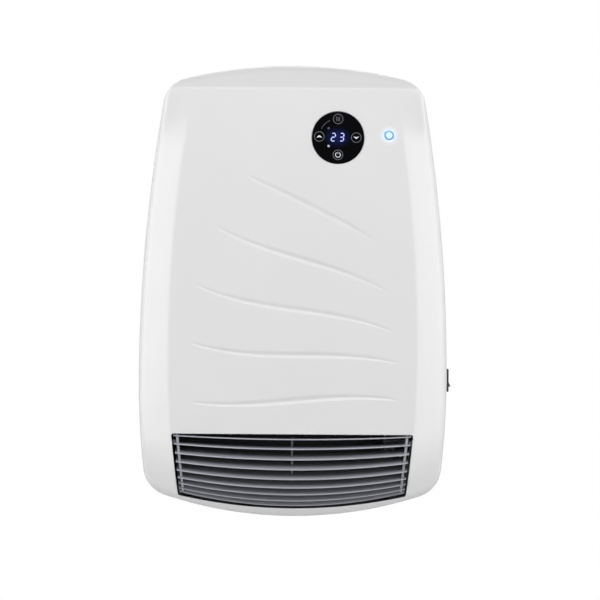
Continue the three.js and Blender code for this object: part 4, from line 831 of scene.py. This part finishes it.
# ---------------------------------------------------------------- rear housing
def rear_housing():
    rim = PART_Y + GAP
    step = REAR_TAPER + SKIRT_WALL - 2
    # section of the tub's wall, as inset and y: inside, locating lip, parting face, outside, skirt, back
    section = (
        (WALL + REVEAL + 0.8, FLOOR_FRONT_Y), (WALL + REVEAL, rim + 3),
        (LIP_IN + LIP_WALL, rim + 3), (LIP_IN + LIP_WALL, PART_Y - LIP_HEIGHT),
        (LIP_IN, PART_Y - LIP_HEIGHT), (LIP_IN, rim),
        (0.4, rim), (0.12, rim + 0.12), (0, rim + 0.4), (0, -36), (0, -26), (0, STRAIGHT_Y - 2),
        (0.08, STRAIGHT_Y), (0.45, -14), (REAR_TAPER * 0.3, FLOOR_FRONT_Y), (2.25, -8), (3.3, -4),
        (REAR_TAPER - 0.15, SKIRT_Y - 0.5), (REAR_TAPER + 0.1, SKIRT_Y - 0.12), (REAR_TAPER + 0.5, SKIRT_Y),
        (step, SKIRT_Y), (step, FLOOR_BACK_Y),
    )
    tub = Shell().loft([at_depth(outline_at(inset), y) for inset, y in section])
    housing = piece("housing_shell", tub, "housing_white", "rear_housing", smooth=30)
    f0, f1 = FILTER_Y - FILTER_WIDTH / 2, FILTER_Y + FILTER_WIDTH / 2
    bosses = [rod_shell("y", BOSS_R, BOSS_MEET_Y + GAP / 2, FLOOR_FRONT_Y + 1, x, z) for x, z in SCREWS]
    ledge_z = top_z(FILTER_HALF) - FILTER_DEEP - GAP
    ledges = [
        box_shell(*sorted((s * (FILTER_HALF - 4), s * (FILTER_HALF + 5))), f0 - 2, FLOOR_FRONT_Y + 1,
                  ledge_z - LEDGE_THICK, ledge_z)
        for s in (-1, 1)
    ]
    slot_half = FILTER_HALF + GAP
    depth, height = (v / 2 for v in SWITCH_CUT)
    cuts = [
        box_shell(-slot_half, slot_half, f0 - GAP, f1 + GAP, top_z(FILTER_HALF) - 12, ABOVE_ALL),
        rod_shell("y", GROMMET_WAY_R, -20, 0, *GROMMET),
        box_shell(GROMMET[0] - CABLE_WAY_HALF, GROMMET[0] + CABLE_WAY_HALF, FLOOR_BACK_Y + 0.5, 1,
                  BELOW_ALL, GROMMET[1] - CABLE_WAY_DROP),
        box_shell(WIDTH_HALF - 12, WIDTH_HALF + 3, SWITCH_Y - depth, SWITCH_Y + depth,
                  WIDEST_Z - height, WIDEST_Z + height),
        rod_shell("z", SCREW_R + GAP, BELOW_ALL, -203, 0, LOCK_Y),
        rod_shell("z", SCREW_HEAD_R + GAP, BELOW_ALL, LOCK_SEAT_Z, 0, LOCK_Y),
    ]
    for x, z in SCREWS:
        cuts.append(rod_shell("y", SCREW_R + GAP, -60, 0, x, z))
        cuts.append(rod_shell("y", SCREW_HEAD_R + GAP, FLOOR_FRONT_Y - 6, 0, x, z))
    for x, z in HOOKS:
        cuts.append(box_shell(x - HOOK_HALF, x + HOOK_HALF, FLOOR_FRONT_Y - 1, FLOOR_BACK_Y + 1,
                              z + HOOK_SLOT[0], z + HOOK_SLOT[1]))
    shape(housing, bosses + ledges, cuts)


# ---------------------------------------------------------------- outlet grille
def outlet_half_at(z):
    share = (OUTLET_TOP_Z - z) / (OUTLET_TOP_Z - OUTLET_LOW_Z)
    return OUTLET_TOP_HALF + (OUTLET_LOW_HALF - OUTLET_TOP_HALF) * share


def slat_middle(i):
    """Height of a slat's middle, along the rolled front."""
    travelled = i * SLAT_PITCH
    r = ROLL_BOTTOM - SLAT_RECESS
    angle = max(0.0, (travelled - (SLAT_FIRST_Z - ROLL_START_Z)) / r)
    z = ROLL_START_Z - r * math.sin(angle) if angle else SLAT_FIRST_Z - travelled
    return z + SLAT_LIFT[i]


def slat_bow(i):
    return SLAT_BOW + i * SLAT_BOW_STEP


def slat_half(i, gap=SLAT_END_GAP):
    return outlet_half_at(slat_middle(i) + slat_bow(i)) - gap


def slat_ring(i, x, section):
    """Section of a slat at x; the section is given as (depth, height) from its front edge."""
    z = slat_middle(i) + slat_bow(i) * (x / OUTLET_LOW_HALF) ** 2
    y = float(plain_y(x, z)) + SLAT_RECESS
    tilt = math.radians(SLAT_TILT[i])
    cos, sin = math.cos(tilt), math.sin(tilt)
    return [(x, y + deep * cos - side * sin, z + deep * sin + side * cos) for deep, side in section]


def rib(place, front, thick):
    """Upright rib through all the slats; place gives its x at each of them."""
    edge, back = 0.3, SLAT_CHORD + 1
    half = thick / 2
    corners = [(edge - half, front), (half - edge, front), (half, front + edge), (half, back),
               (-half, back), (-half, front + edge)]
    lifts = [SLAT_THICK] + [0] * (SLATS - 2) + [-SLAT_THICK]
    rings = []
    for i, lift in enumerate(lifts):
        x = place(i)
        rings.append([(x + side, *slat_ring(i, x, [(deep, lift)])[0][1:]) for side, deep in corners])
    return Shell().loft(rings)


def outlet_grille():
    shell = Shell()
    t = SLAT_THICK / 2
    nose = t * 0.72  # the front edge is a half round of this radius
    section = [(nose * (1 - math.sin(a)), -nose * math.cos(a)) for a in np.linspace(0, math.pi, 9)]
    section += [(SLAT_CHORD * 0.5, t * 0.9), (SLAT_CHORD, t), (SLAT_CHORD, -t), (SLAT_CHORD * 0.5, -t * 0.9)]
    for i in range(SLATS):
        xs = slat_half(i, SLAT_END_REACH) * np.linspace(-1, 1, 61)
        shell.loft([slat_ring(i, float(x), section) for x in xs])
    grille = piece("grille_slats", shell, "grille_grey", "outlet_grille", smooth=30)
    adds = [rib(lambda i: 0, RIB_SHY, RIB_THICK)]
    lug_x, lug_z = OUTLET_TOP_HALF + LUG_REACH, OUTLET_TOP_Z - LUG_DROP
    deep, half = LUG_SIZE[0], LUG_SIZE[1] / 2
    for side in (-1, 1):
        adds.append(rib(lambda i: side * (slat_half(i) - RIB_INSET), END_RIB_SHY, END_RIB_THICK))
        x0, x1 = sorted((side * (slat_half(1) - RIB_INSET), side * lug_x))
        y = float(plain_y(side * lug_x, lug_z - half, WALL)) + LUG_CLEAR
        adds.append(box_shell(x0, x1, y, y + deep, lug_z - half, lug_z + half))
    shape(grille, adds)


# ---------------------------------------------------------------- window and its marks
def stroke(points, width, closed=False):
    """Flat outline of a stroke along points, with round ends; a closed stroke gives a pair of outlines."""
    p = np.array(points, float)
    d = np.roll(p, -1, 0) - np.roll(p, 1, 0) if closed else np.gradient(p, axis=0)
    d /= np.linalg.norm(d, axis=1)[:, None]
    side = np.stack([-d[:, 1], d[:, 0]], 1) * width / 2
    left, right = p + side, p - side
    if closed:
        return left, right
    caps = []
    for centre, direction in ((p[-1], d[-1]), (p[0], -d[0])):
        base = math.atan2(direction[1], direction[0])
        angles = np.linspace(math.pi / 2, -math.pi / 2, 7)[1:-1] + base
        caps.append(centre + width / 2 * np.stack([np.cos(angles), np.sin(angles)], 1))
    return np.concatenate([left, caps[0], right[::-1], caps[1]])


def mark_shells(outlines, y0=FACE - MARK_RAISE, y1=FACE + MARK_SINK):
    """Thin closed bodies from outlines; a pair of outlines makes a ring."""
    verts, faces = [], []
    for outline in outlines:
        start = len(verts)
        if isinstance(outline, tuple):
            n = len(outline[0])
            for loop in outline:
                for y in (y0, y1):
                    verts.extend((float(x), y, float(z)) for x, z in loop)
            a0, a1, b0, b1 = (start + k * n for k in range(4))
            for i in range(n):
                k = (i + 1) % n
                faces += [(a0 + i, a0 + k, b0 + k, b0 + i), (a1 + k, a1 + i, b1 + i, b1 + k),
                          (a0 + k, a0 + i, a1 + i, a1 + k), (b0 + i, b0 + k, b1 + k, b1 + i)]
        else:
            v, f = prism_shell([tuple(map(float, p)) for p in outline], y0, y1)
            verts.extend(v)
            faces.extend(tuple(start + i for i in face) for face in f)
    return verts, faces


def chevron(x, z, up):
    return np.array([(x + px, z + up * pz) for px, pz in CHEVRON[::up]])


def window_marks():
    x, z = KEYS["top"]
    rise = np.linspace(-WAVE_HALF, WAVE_HALF, 13)
    waves = [
        stroke(np.stack([x + dx + WAVE_SWING * np.sin(rise * WAVE_TURNS), z + rise], 1), WAVE_LINE)
        for dx in (-WAVE_PITCH, 0, WAVE_PITCH)
    ]
    row = [circle_loop(ROW_R * math.cos(a), ROW_R * math.sin(a), ROW_DOT_R, 12)
           for a in np.radians(np.linspace(ROW_FROM, ROW_TO, ROW_DOTS))]
    x, z = KEYS["bottom"]
    a = np.radians(np.linspace(90 + POWER_OPEN, 450 - POWER_OPEN, 40))
    power = [
        stroke(np.stack([x + POWER_R * np.cos(a), z + POWER_R * np.sin(a)], 1), 0.62),
        stroke([(x, z + 0.9), (x, z + 2.7)], 0.4),
    ]
    rings = [stroke(circle_loop(*key, KEY_R, 48), KEY_LINE, closed=True) for key in KEYS.values()]
    arrows = [chevron(*KEYS["left"], 1), chevron(*KEYS["right"], -1)]
    for name, outlines, finish in (
        ("window_key_rings", rings, "mark_ring"),
        ("window_dim_marks", waves + row, "mark_dim"),
        ("window_bright_marks", arrows + power, "mark_bright"),
        ("window_dot", [circle_loop(-9.0, -8.1, DOT_R, 24)], "mark_dot"),
        ("window_faint_dot", [circle_loop(-9.1, 9.0, DOT_R, 24)], "mark_faint"),
    ):
        piece(name, mark_shells(outlines), finish, slot="digit_light", seat=DISPLAY_SEAT)


def lit_digits():
    """Seven-stroke figures that shine through the window."""
    w, h = DIGIT_HALF, DIGIT_RISE
    strokes = {
        "a": ((-w, h), (w, h)), "b": ((w, h), (w, 0)), "c": ((w, 0), (w, -h)), "d": ((w, -h), (-w, -h)),
        "e": ((-w, -h), (-w, 0)), "f": ((-w, 0), (-w, h)), "g": ((-w, 0), (w, 0)),
    }
    for node, x, lit in DIGITS:
        outlines = []
        for start, end in (strokes[key] for key in lit):
            trim = DIGIT_LINE / math.dist(start, end)  # strokes stop short of the corners
            points = [np.add(start, np.subtract(end, start) * t) for t in (trim, 0.5, 1 - trim)]
            slanted = [(x + px + DIGIT_SLANT * pz, DIGIT_Z + pz) for px, pz in points]
            outlines.append(stroke(slanted, DIGIT_LINE))
        shell = mark_shells(outlines, FACE - MARK_RAISE, LENS_BACK + GAP + 0.4)
        piece("lit_" + node, shell, "digit_light", node, seat=DISPLAY_SEAT)


def window():
    r = LENS_R
    profile = [
        (0, FACE), (r * 0.5, FACE), (r - 0.9, FACE), (r - 0.45, FACE + 0.07), (r - 0.15, FACE + 0.25),
        (r, FACE + 0.6), (r, LENS_BACK), (0, LENS_BACK),
    ]
    piece("window_glass", turned(profile, 128), "window_black", "display_lens", smooth=30, seat=DISPLAY_SEAT)
    window_marks()
    lit_digits()


def status_light():
    rim, dome = 0.25, 0.7
    profile = [(0, -rim - dome)]
    profile += [(LIGHT_R * math.sin(a), -rim - dome * math.cos(a)) for a in np.linspace(0.2, math.pi / 2, 8)]
    profile += [(LIGHT_R, LIGHT_LENGTH), (0, LIGHT_LENGTH)]
    piece("status_glow", turned(profile, LIGHT_SIDES), "status_light", "status_lens", seat=LIGHT_SEAT)


# ---------------------------------------------------------------- switch
def mains_switch():
    depth, height, thick = BEZEL
    face = WIDTH_HALF + GAP
    back = face - SWITCH_DEEP
    d, h = (v - 2 * GAP for v in SWITCH_CUT)

    def plate(w, tall, r, x):
        return [(x, y, z) for y, z in rounded_rect(w, tall, r, SWITCH_Y, WIDEST_Z)]

    frame_shell = Shell().loft([
        plate(d, h, 0.6, back), plate(d, h, 0.6, face - 0.02), plate(depth, height, 1.6, face),
        plate(depth, height, 1.6, face + thick - 0.8),
        plate(depth - 0.4, height - 0.4, 1.5, face + thick - 0.25),
        plate(depth - 1.4, height - 1.4, 1.2, face + thick),
    ])
    body = piece("switch_frame", frame_shell, "black_plastic", "switch_body", smooth=30)
    rd, rh = ROCKER
    well = [plate(rd + 2 * GAP, rh + 5 * GAP, 0.5, x) for x in (face - WELL_DEEP, face + thick + 1)]
    pins = [
        box_shell(back - 7, back + 1, SWITCH_Y - 2.4, SWITCH_Y + 2.4, WIDEST_Z + z - 0.4, WIDEST_Z + z + 0.4)
        for z in (-5, 0, 5)
    ]
    shape(body, pins, [Shell().loft(well)])

    turn = math.radians(ROCKER_TILT)
    top = [(3.9 + 1.45 * (abs(t) ** 1.6), t * (rh / 2 - 0.75)) for t in np.linspace(1, -1, 17)]
    profile = [(-5.4, -3), (-5.4, 3), (0, rh / 2 - 1.6), (4.4, rh / 2 - 0.6)] + top + [
        (4.4, 0.6 - rh / 2), (0, 1.6 - rh / 2)]
    tilted = [
        (face - PIVOT_DEEP + x * math.cos(turn) - z * math.sin(turn),
         WIDEST_Z + x * math.sin(turn) + z * math.cos(turn))
        for x, z in profile
    ]
    shell = prism_shell(tilted, SWITCH_Y - rd / 2, SWITCH_Y + rd / 2)
    soften(piece("rocker_key", shell, "rocker_black", "switch_rocker", body="rocker", smooth=30), 0.35)


# ---------------------------------------------------------------- filter
def filter_cassette():
    base = top_z(FILTER_HALF) - FILTER_DEEP
    y0, y1 = FILTER_Y - FILTER_WIDTH / 2 + GAP, FILTER_Y + FILTER_WIDTH / 2 - GAP

    def block(half, inset, low, ends):
        """Block between two depths with a bowed top."""
        xs = half * np.linspace(-1, 1, 65)
        return Shell().loft([
            [(x, y, top_z(x, inset)) for x in xs] + [(-x, y, low) for x in xs] for y in ends
        ])

    solid = block(FILTER_HALF, 0, base, (y0, y1))
    cassette = piece("filter_frame", solid, "filter_white", "filter_cassette", body="filter", smooth=30)
    cuts = [block(FILTER_HALF - FILTER_SKIN, FILTER_SKIN, base - 5, (y0 + FILTER_SKIN, y1 - FILTER_SKIN))]
    room = 2 * (FILTER_HALF - FILTER_SKIN - FILTER_END)
    pitch = room / FILTER_SLOTS
    deep = y1 - y0 - 4 * FILTER_SKIN
    for i in range(FILTER_SLOTS):
        x = -room / 2 + (i + 0.5) * pitch
        outline = rounded_rect(pitch - FILTER_BAR, deep, FILTER_SLOT_R, x, (y0 + y1) / 2)
        cuts.append(Shell().loft([[(px, py, z) for px, py in outline] for z in (190, ABOVE_ALL)]))
    shape(cassette, (), cuts)
    soften(cassette, 0.3)


# ---------------------------------------------------------------- materials
def material(name, base, roughness, metallic=0.0, **sockets):
    m = bpy.data.materials.new(name)
    m.use_nodes = True
    inputs = m.node_tree.nodes["Principled BSDF"].inputs
    inputs["Base Color"].default_value = (*base, 1)
    inputs["Roughness"].default_value = roughness
    inputs["Metallic"].default_value = metallic
    for key, value in sockets.items():
        inputs[key.replace("_", " ")].default_value = value
    return m


class Graph:
    """Short hand for the nodes of a material or a world."""

    def __init__(self, owner, shader="Principled BSDF", place="Object"):
        self.tree = owner.node_tree
        self.shader = self.tree.nodes[shader]
        self.where = self.node("TexCoord").outputs[place]

    def node(self, kind, inputs=(), **values):
        n = self.tree.nodes.new("ShaderNode" + kind)
        for key, value in values.items():
            setattr(n, key, value)
        for key, value in dict(inputs).items():
            self.feed(value, n.inputs[key])
        return n

    def feed(self, value, socket):
        if isinstance(value, bpy.types.NodeSocket):
            self.tree.links.new(value, socket)
        else:
            socket.default_value = value

    def link(self, value, socket):
        self.tree.links.new(value, self.shader.inputs[socket])

    def math(self, operation, a, b=0.0):
        return self.node("Math", {0: a, 1: b}, operation=operation).outputs[0]

    def away(self, place):
        return self.node("VectorMath", {0: self.where, 1: place}, operation="DISTANCE").outputs["Value"]

    def noise(self, scale, detail=3.0, vector=None):
        inputs = {"Vector": vector or self.where, "Scale": scale, "Detail": detail}
        return self.node("TexNoise", inputs).outputs["Fac"]

    def ramp(self, value, low, high, to_low=0.0, to_high=1.0):
        keys = ("Value", "From Min", "From Max", "To Min", "To Max")
        return self.node("MapRange", zip(keys, (value, low, high, to_low, to_high))).outputs["Result"]

    def mix(self, factor, a, b):
        n = self.node("Mix", data_type="RGBA")
        for key, value in (("Factor", factor), ("A", (*a, 1)), ("B", (*b, 1))):
            fits = (s for s in n.inputs if s.name == key and s.type in ("RGBA", "VALUE") and s.enabled)
            self.feed(value, next(fits))
        return next(s for s in n.outputs if s.type == "RGBA" and s.enabled)

    def bands(self, value, stops):
        """Colour by a value from 0 to 1; stops are places with their colours."""
        n = self.node("ValToRGB", {"Fac": value})
        elements = n.color_ramp.elements
        for k, (place, colour) in enumerate(stops):
            element = elements[k] if k < 2 else elements.new(place)
            element.position = place
            element.color = (*colour, 1)
        return n.outputs["Color"]

    def bump(self, height, strength, distance):
        n = self.node("Bump", {"Height": height, "Strength": strength, "Distance": distance})
        self.link(n.outputs["Normal"], "Normal")


def moulded(name, base, roughness, grain, spread, scale, **sockets):
    """Moulded plastic: faint unevenness in colour and gloss, and a fine skin texture."""
    m = material(name, base, roughness, **sockets)
    g = Graph(m)
    cloud = g.ramp(g.noise(14.0, 2.0), 0.35, 0.65)
    g.link(g.mix(cloud, base, tuple(c * (1 - spread) for c in base)), "Base Color")
    g.link(g.ramp(g.noise(60.0), 0.3, 0.7, roughness * 0.9, min(roughness * 1.12, 1)), "Roughness")
    g.bump(g.noise(scale, 2.0), 0.25, grain)
    return m


def metal(name, base, roughness, stretch, spread):
    """Sheet or turned metal with fine lines along one direction."""
    m = material(name, base, roughness, 1.0)
    g = Graph(m)
    lines = g.noise(260.0, 4.0, g.node("Mapping", {"Vector": g.where, "Scale": stretch}).outputs[0])
    g.link(g.mix(lines, tuple(c * (1 - spread) for c in base), base), "Base Color")
    g.link(g.ramp(lines, 0.3, 0.7, roughness * 0.8, min(roughness * 1.3, 1)), "Roughness")
    g.bump(lines, 0.15, 0.00002)
    return m


def lit(name, colour, strength):
    return material(name, colour, 0.4, Specular_IOR_Level=0.1, Emission_Color=(*colour, 1),
                    Emission_Strength=strength)


def cover_material():
    """Satin white plastic, lit pale blue where the status light shines on it."""
    m = moulded("cover_white", (0.80, 0.80, 0.80), 0.36, 0.000006, 0.012, 1400.0,
                Coat_Weight=0.1, Coat_Roughness=0.2, Specular_IOR_Level=0.35,
                Emission_Color=(0.42, 0.64, 1.0, 1))
    g = Graph(m)
    near = g.ramp(g.away(LIGHT_SEAT.translation * MM), 0.0049, 0.0108, 1.0, 0.0)
    g.link(g.math("MULTIPLY", g.math("POWER", near, 2.0), 0.36), "Emission Strength")
    return m


def grille_material():
    """Grey plastic with painted shade: light on the front edges and darker the deeper it lies behind the
    cover's face, standing in for the shade that the slats cast on each other.
    """
    m = moulded("grille_grey", (0.4, 0.41, 0.455), 0.36, 0.00001, 0.0, 1200.0)
    g = Graph(m)
    x, y, z = g.node("SeparateXYZ", {"Vector": g.where}).outputs
    square = g.math("MULTIPLY", x, x)
    axis_y = (float(plain_y(0.0, ROLL_START_Z)) + ROLL_BOTTOM) * MM
    bow_y = g.math("MULTIPLY", square, 0.5 / (PANEL_R_ACROSS * MM))
    bow_z = g.math("MULTIPLY", square, 0.5 / ((BOTTOM_R - EDGE) * MM))
    across = g.math("SUBTRACT", g.math("SUBTRACT", y, axis_y), bow_y)
    down = g.math("MAXIMUM", g.math("SUBTRACT", g.math("ADD", bow_z, ROLL_START_Z * MM), z), 0.0)
    away = g.math("SQRT", g.math("ADD", g.math("MULTIPLY", across, across), g.math("MULTIPLY", down, down)))
    # painted shade: how deep a place lies behind the face, from 2 to 16 mm, sets how far its grey is
    # darkened
    depth = g.ramp(g.math("SUBTRACT", ROLL_BOTTOM * MM, away), 0.002, 0.016)
    stops = ((0.0, 1.0), (0.06, 0.85), (0.2, 0.62), (0.4, 0.42), (0.62, 0.32), (1.0, 0.25))
    painted_shade_greys = [(place, (0.44 * share, 0.45 * share, 0.50 * share)) for place, share in stops]
    g.link(g.bands(depth, painted_shade_greys), "Base Color")
    return m


def board_material():
    """Green lacquer with paler tracks that run square to each other."""
    m = material("circuit_green", (0.02, 0.11, 0.05), 0.35)
    g = Graph(m)
    cells = g.node("TexVoronoi", {"Vector": g.where, "Scale": 170.0}, distance="MANHATTAN").outputs["Color"]
    track = g.ramp(g.node("SeparateColor", {"Color": cells}).outputs[0], 0.55, 0.6)
    g.link(g.mix(track, (0.015, 0.085, 0.04), (0.05, 0.19, 0.09)), "Base Color")
    g.bump(track, 0.3, 0.00004)
    return m


def window_material():
    """Black gloss with a faint blue glow round the lit figures."""
    m = material("window_black", (0.0024, 0.0024, 0.003), 0.06, Specular_IOR_Level=0.018,
                 Emission_Color=(0.02, 0.03, 0.20, 1))
    g = Graph(m)
    at = DISPLAY_SEAT @ Vector((-0.3, FACE, 0.4)) * MM
    shift = g.node("VectorMath", {0: g.where, 1: at}, operation="SUBTRACT").outputs[0]
    squash = g.node("VectorMath", {0: shift, 1: (0.75, 1.0, 1.0)}, operation="MULTIPLY").outputs[0]
    away = g.node("VectorMath", {0: squash}, operation="LENGTH").outputs["Value"]
    glow = g.math("POWER", g.ramp(away, 0.003, 0.0115, 1.0, 0.0), 1.6)
    g.link(g.math("MULTIPLY", glow, 0.35), "Emission Strength")
    return m


def status_material():
    """Pale blue lens, brightest in the middle with a darker ring near its edge."""
    m = material("status_light", (0.6, 0.85, 1.0), 0.2, Emission_Strength=0.45)
    g = Graph(m)
    ring = g.bands(g.ramp(g.away(LIGHT_SEAT.translation * MM), 0.0, 0.006), (
        (0.0, (0.62, 0.90, 1.0)), (0.45, (0.50, 0.80, 1.0)), (0.62, (0.11, 0.21, 0.33)),
        (0.74, (0.14, 0.26, 0.40)), (0.86, (0.72, 0.84, 1.0))))
    g.link(ring, "Base Color")
    g.link(ring, "Emission Color")
    return m


# colour, roughness, height of the skin texture in metres, spread of the colour and scale of the texture
PLASTICS = {
    "housing_white": ((0.78, 0.78, 0.78), 0.38, 0.00001, 0.015, 1400.0),
    "filter_white": ((0.74, 0.74, 0.73), 0.42, 0.00001, 0.02, 1200.0),
    "black_plastic": ((0.012, 0.012, 0.013), 0.35, 0.00001, 0.1, 1000.0),
    "rocker_black": ((0.01, 0.01, 0.011), 0.25, 0.000004, 0.1, 1000.0),
    "rotor_dark": ((0.02, 0.02, 0.022), 0.5, 0.00001, 0.1, 900.0),
    "rubber_black": ((0.014, 0.014, 0.014), 0.7, 0.00003, 0.1, 700.0),
    "relay_blue": ((0.03, 0.10, 0.34), 0.4, 0.00001, 0.06, 900.0),
    "capacitor_yellow": ((0.62, 0.40, 0.05), 0.45, 0.00001, 0.06, 900.0),
    "terminal_cream": ((0.62, 0.56, 0.42), 0.45, 0.00001, 0.05, 900.0),
    "ceramic_white": ((0.70, 0.69, 0.66), 0.3, 0.00001, 0.04, 900.0),
    "filter_mesh": ((0.045, 0.048, 0.052), 0.9, 0.0004, 0.35, 2600.0),
}
# colour, roughness, stretch of the fine lines along x, y and z, and spread of the colour
METALS = {
    "zinc_sheet": ((0.56, 0.57, 0.59), 0.4, (1, 1, 18), 0.12),
    # painted shade: the duct's sheet is far darker than bare steel, for the dark inside behind the grille
    "duct_sheet": ((0.07, 0.072, 0.078), 0.55, (18, 1, 1), 0.12),
    "screw_steel": ((0.55, 0.55, 0.57), 0.3, (4, 4, 4), 0.12),
    "shaft_steel": ((0.5, 0.5, 0.52), 0.25, (1, 20, 20), 0.12),
    "lamination_steel": ((0.30, 0.30, 0.32), 0.45, (60, 1, 1), 0.45),
    "transformer_core": ((0.16, 0.16, 0.17), 0.5, (60, 1, 1), 0.45),
    "winding_copper": ((0.62, 0.30, 0.14), 0.35, (1, 40, 1), 0.35),
    "terminal_brass": ((0.62, 0.46, 0.20), 0.32, (4, 4, 4), 0.12),
    # painted shade: the element's aluminium is darkened nearly to black, for the dark inside behind the
    # grille
    "element_aluminium": ((0.09, 0.09, 0.095), 0.5, (1, 1, 12), 0.12),
}
# colour and strength of what is lit or printed on the window
LIT = {
    "mark_ring": ((0.16, 0.16, 0.18), 0.10),
    "mark_dim": ((0.16, 0.16, 0.18), 0.08),
    "mark_bright": ((0.60, 0.62, 0.68), 0.45),
    "mark_dot": ((0.34, 0.36, 0.50), 0.5),
    "mark_faint": ((0.09, 0.08, 0.14), 0.10),
    "digit_light": ((0.42, 0.46, 0.80), 0.9),
}
# finish of each node that the scene keeps as it is
KEPT = {
    "duct_sheet": ("fan_scroll", "fan_tongue", "end_plate_left", "end_plate_right"),
    "zinc_sheet": ("wall_plate", "motor_bracket_inner", "motor_bracket_outer"),
    "screw_steel": ("cover_screw_1", "cover_screw_2", "cover_screw_3", "cover_screw_4", "plate_lock_screw"),
    "shaft_steel": ("rotor_pin", "motor_shaft"),
    "lamination_steel": ("motor_stator", "motor_armature"),
    "winding_copper": ("motor_coil",),
    "element_aluminium": ("ptc_bar", "ptc_fins_rear", "ptc_fins_front"),
    "rotor_dark": ("fan_rotor",),
    "rubber_black": ("bearing_bush", "cable_grommet"),
    "black_plastic": ("digit_module", "element_holder_left", "element_holder_right", "board_electrolytic",
                      "cord_clamp", "thermal_cutout"),
    "circuit_green": ("display_board", "control_board"),
    "relay_blue": ("board_relay_1", "board_relay_2"),
    "capacitor_yellow": ("board_film_capacitor",),
    "transformer_core": ("board_transformer",),
    "terminal_cream": ("terminal_block",),
    "terminal_brass": ("terminal_screw_1", "terminal_screw_2", "terminal_screw_3"),
    "ceramic_white": ("thermal_fuse",),
    "filter_mesh": ("filter_mesh",),
}


def make_materials():
    for make, table in ((moulded, PLASTICS), (metal, METALS), (lit, LIT)):
        for name, values in table.items():
            MATERIALS[name] = make(name, *values)
    MATERIALS.update(
        cover_white=cover_material(), grille_grey=grille_material(), circuit_green=board_material(),
        window_black=window_material(), status_light=status_material(),
    )


def dress_kept_nodes():
    for name, nodes in KEPT.items():
        for node in nodes:
            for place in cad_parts[node].material_slots:
                place.link = "OBJECT"
                place.material = MATERIALS[name]


# ---------------------------------------------------------------- stage, lamps and camera
def floor_material():
    """Pale floor, open to the light from below so that it never hides the heater."""
    m = material("floor_pale", (0.85, 0.85, 0.85), 0.9, Emission_Color=(1, 1, 1, 1))
    g = Graph(m)
    seen = g.node("LightPath").outputs["Is Camera Ray"]
    g.link(g.ramp(seen, 0.0, 1.0, FLOOR_GLOW, FLOOR_GLOW_SEEN), "Emission Strength")
    behind = g.node("NewGeometry").outputs["Backfacing"]
    mix = g.node("MixShader", {0: behind, 1: g.shader.outputs[0], 2: g.node("BsdfTransparent").outputs[0]})
    g.tree.links.new(mix.outputs[0], g.tree.nodes["Material Output"].inputs["Surface"])
    return m


def stage():
    floor = bpy.data.meshes.new("floor")
    s = FLOOR_HALF
    floor.from_pydata([(x, y, FLOOR_Z) for x, y in ((-s, -s), (s, -s), (s, s), (-s, s))], [], [(0, 1, 2, 3)])
    floor.materials.append(floor_material())
    obj = bpy.data.objects.new("floor", floor)
    bpy.context.scene.collection.objects.link(obj)
    obj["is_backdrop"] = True


def surroundings():
    """White where the camera or a mirror sees the world, and a soft fill light, stronger from below."""
    world = bpy.data.worlds.new("studio")
    bpy.context.scene.world = world
    world.use_nodes = True
    g = Graph(world, "Background", "Generated")
    path = g.node("LightPath").outputs
    white = path["Is Camera Ray"]
    for name in ("Is Glossy Ray", "Is Transmission Ray"):
        white = g.math("MAXIMUM", white, path[name])
    height = g.node("SeparateXYZ", {"Vector": g.where}).outputs["Z"]
    fill = g.ramp(height, -0.6, 0.8, WORLD_LOW, WORLD_HIGH)
    g.shader.inputs["Color"].default_value = (1, 1, 1, 1)
    g.link(g.ramp(white, 0.0, 1.0, fill, 1.0), "Strength")


def lamp(name, azimuth, elevation, distance, size, power):
    """Square soft lamp that looks at the heater."""
    a, e = math.radians(azimuth), math.radians(elevation)
    away = Vector((math.sin(a) * math.cos(e), -math.cos(a) * math.cos(e), math.sin(e)))
    data = bpy.data.lights.new(name, "AREA")
    data.shape = "SQUARE"
    data.size = size
    data.energy = power
    obj = bpy.data.objects.new(name, data)
    obj.location = Vector((0, -0.08, 0)) + away * distance
    obj.rotation_euler = away.to_track_quat("Z", "Y").to_euler()
    bpy.context.scene.collection.objects.link(obj)


def camera():
    data = bpy.data.cameras.new("camera")
    data.sensor_width = SENSOR
    data.lens = SENSOR * CAMERA_DISTANCE / FRAME_WIDTH
    data.clip_end = 50
    obj = bpy.data.objects.new("camera", data)
    obj.location = (CAMERA_X, PART_Y * MM - CAMERA_DISTANCE, CAMERA_Z)
    obj.rotation_euler = (math.pi / 2, math.radians(-CAMERA_TURN), 0)
    bpy.context.scene.collection.objects.link(obj)
    bpy.context.scene.camera = obj
    bpy.context.scene.view_settings.view_transform = "Standard"


make_materials()
dress_kept_nodes()
for values in LAMPS:
    lamp(*values)
camera()
stage()
surroundings()

front_cover()
rear_housing()
outlet_grille()
window()
status_light()
mains_switch()
filter_cassette()

low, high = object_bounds()
{"cad": [list(cad_low), list(cad_high)], "visual": [list(low), list(high)]}
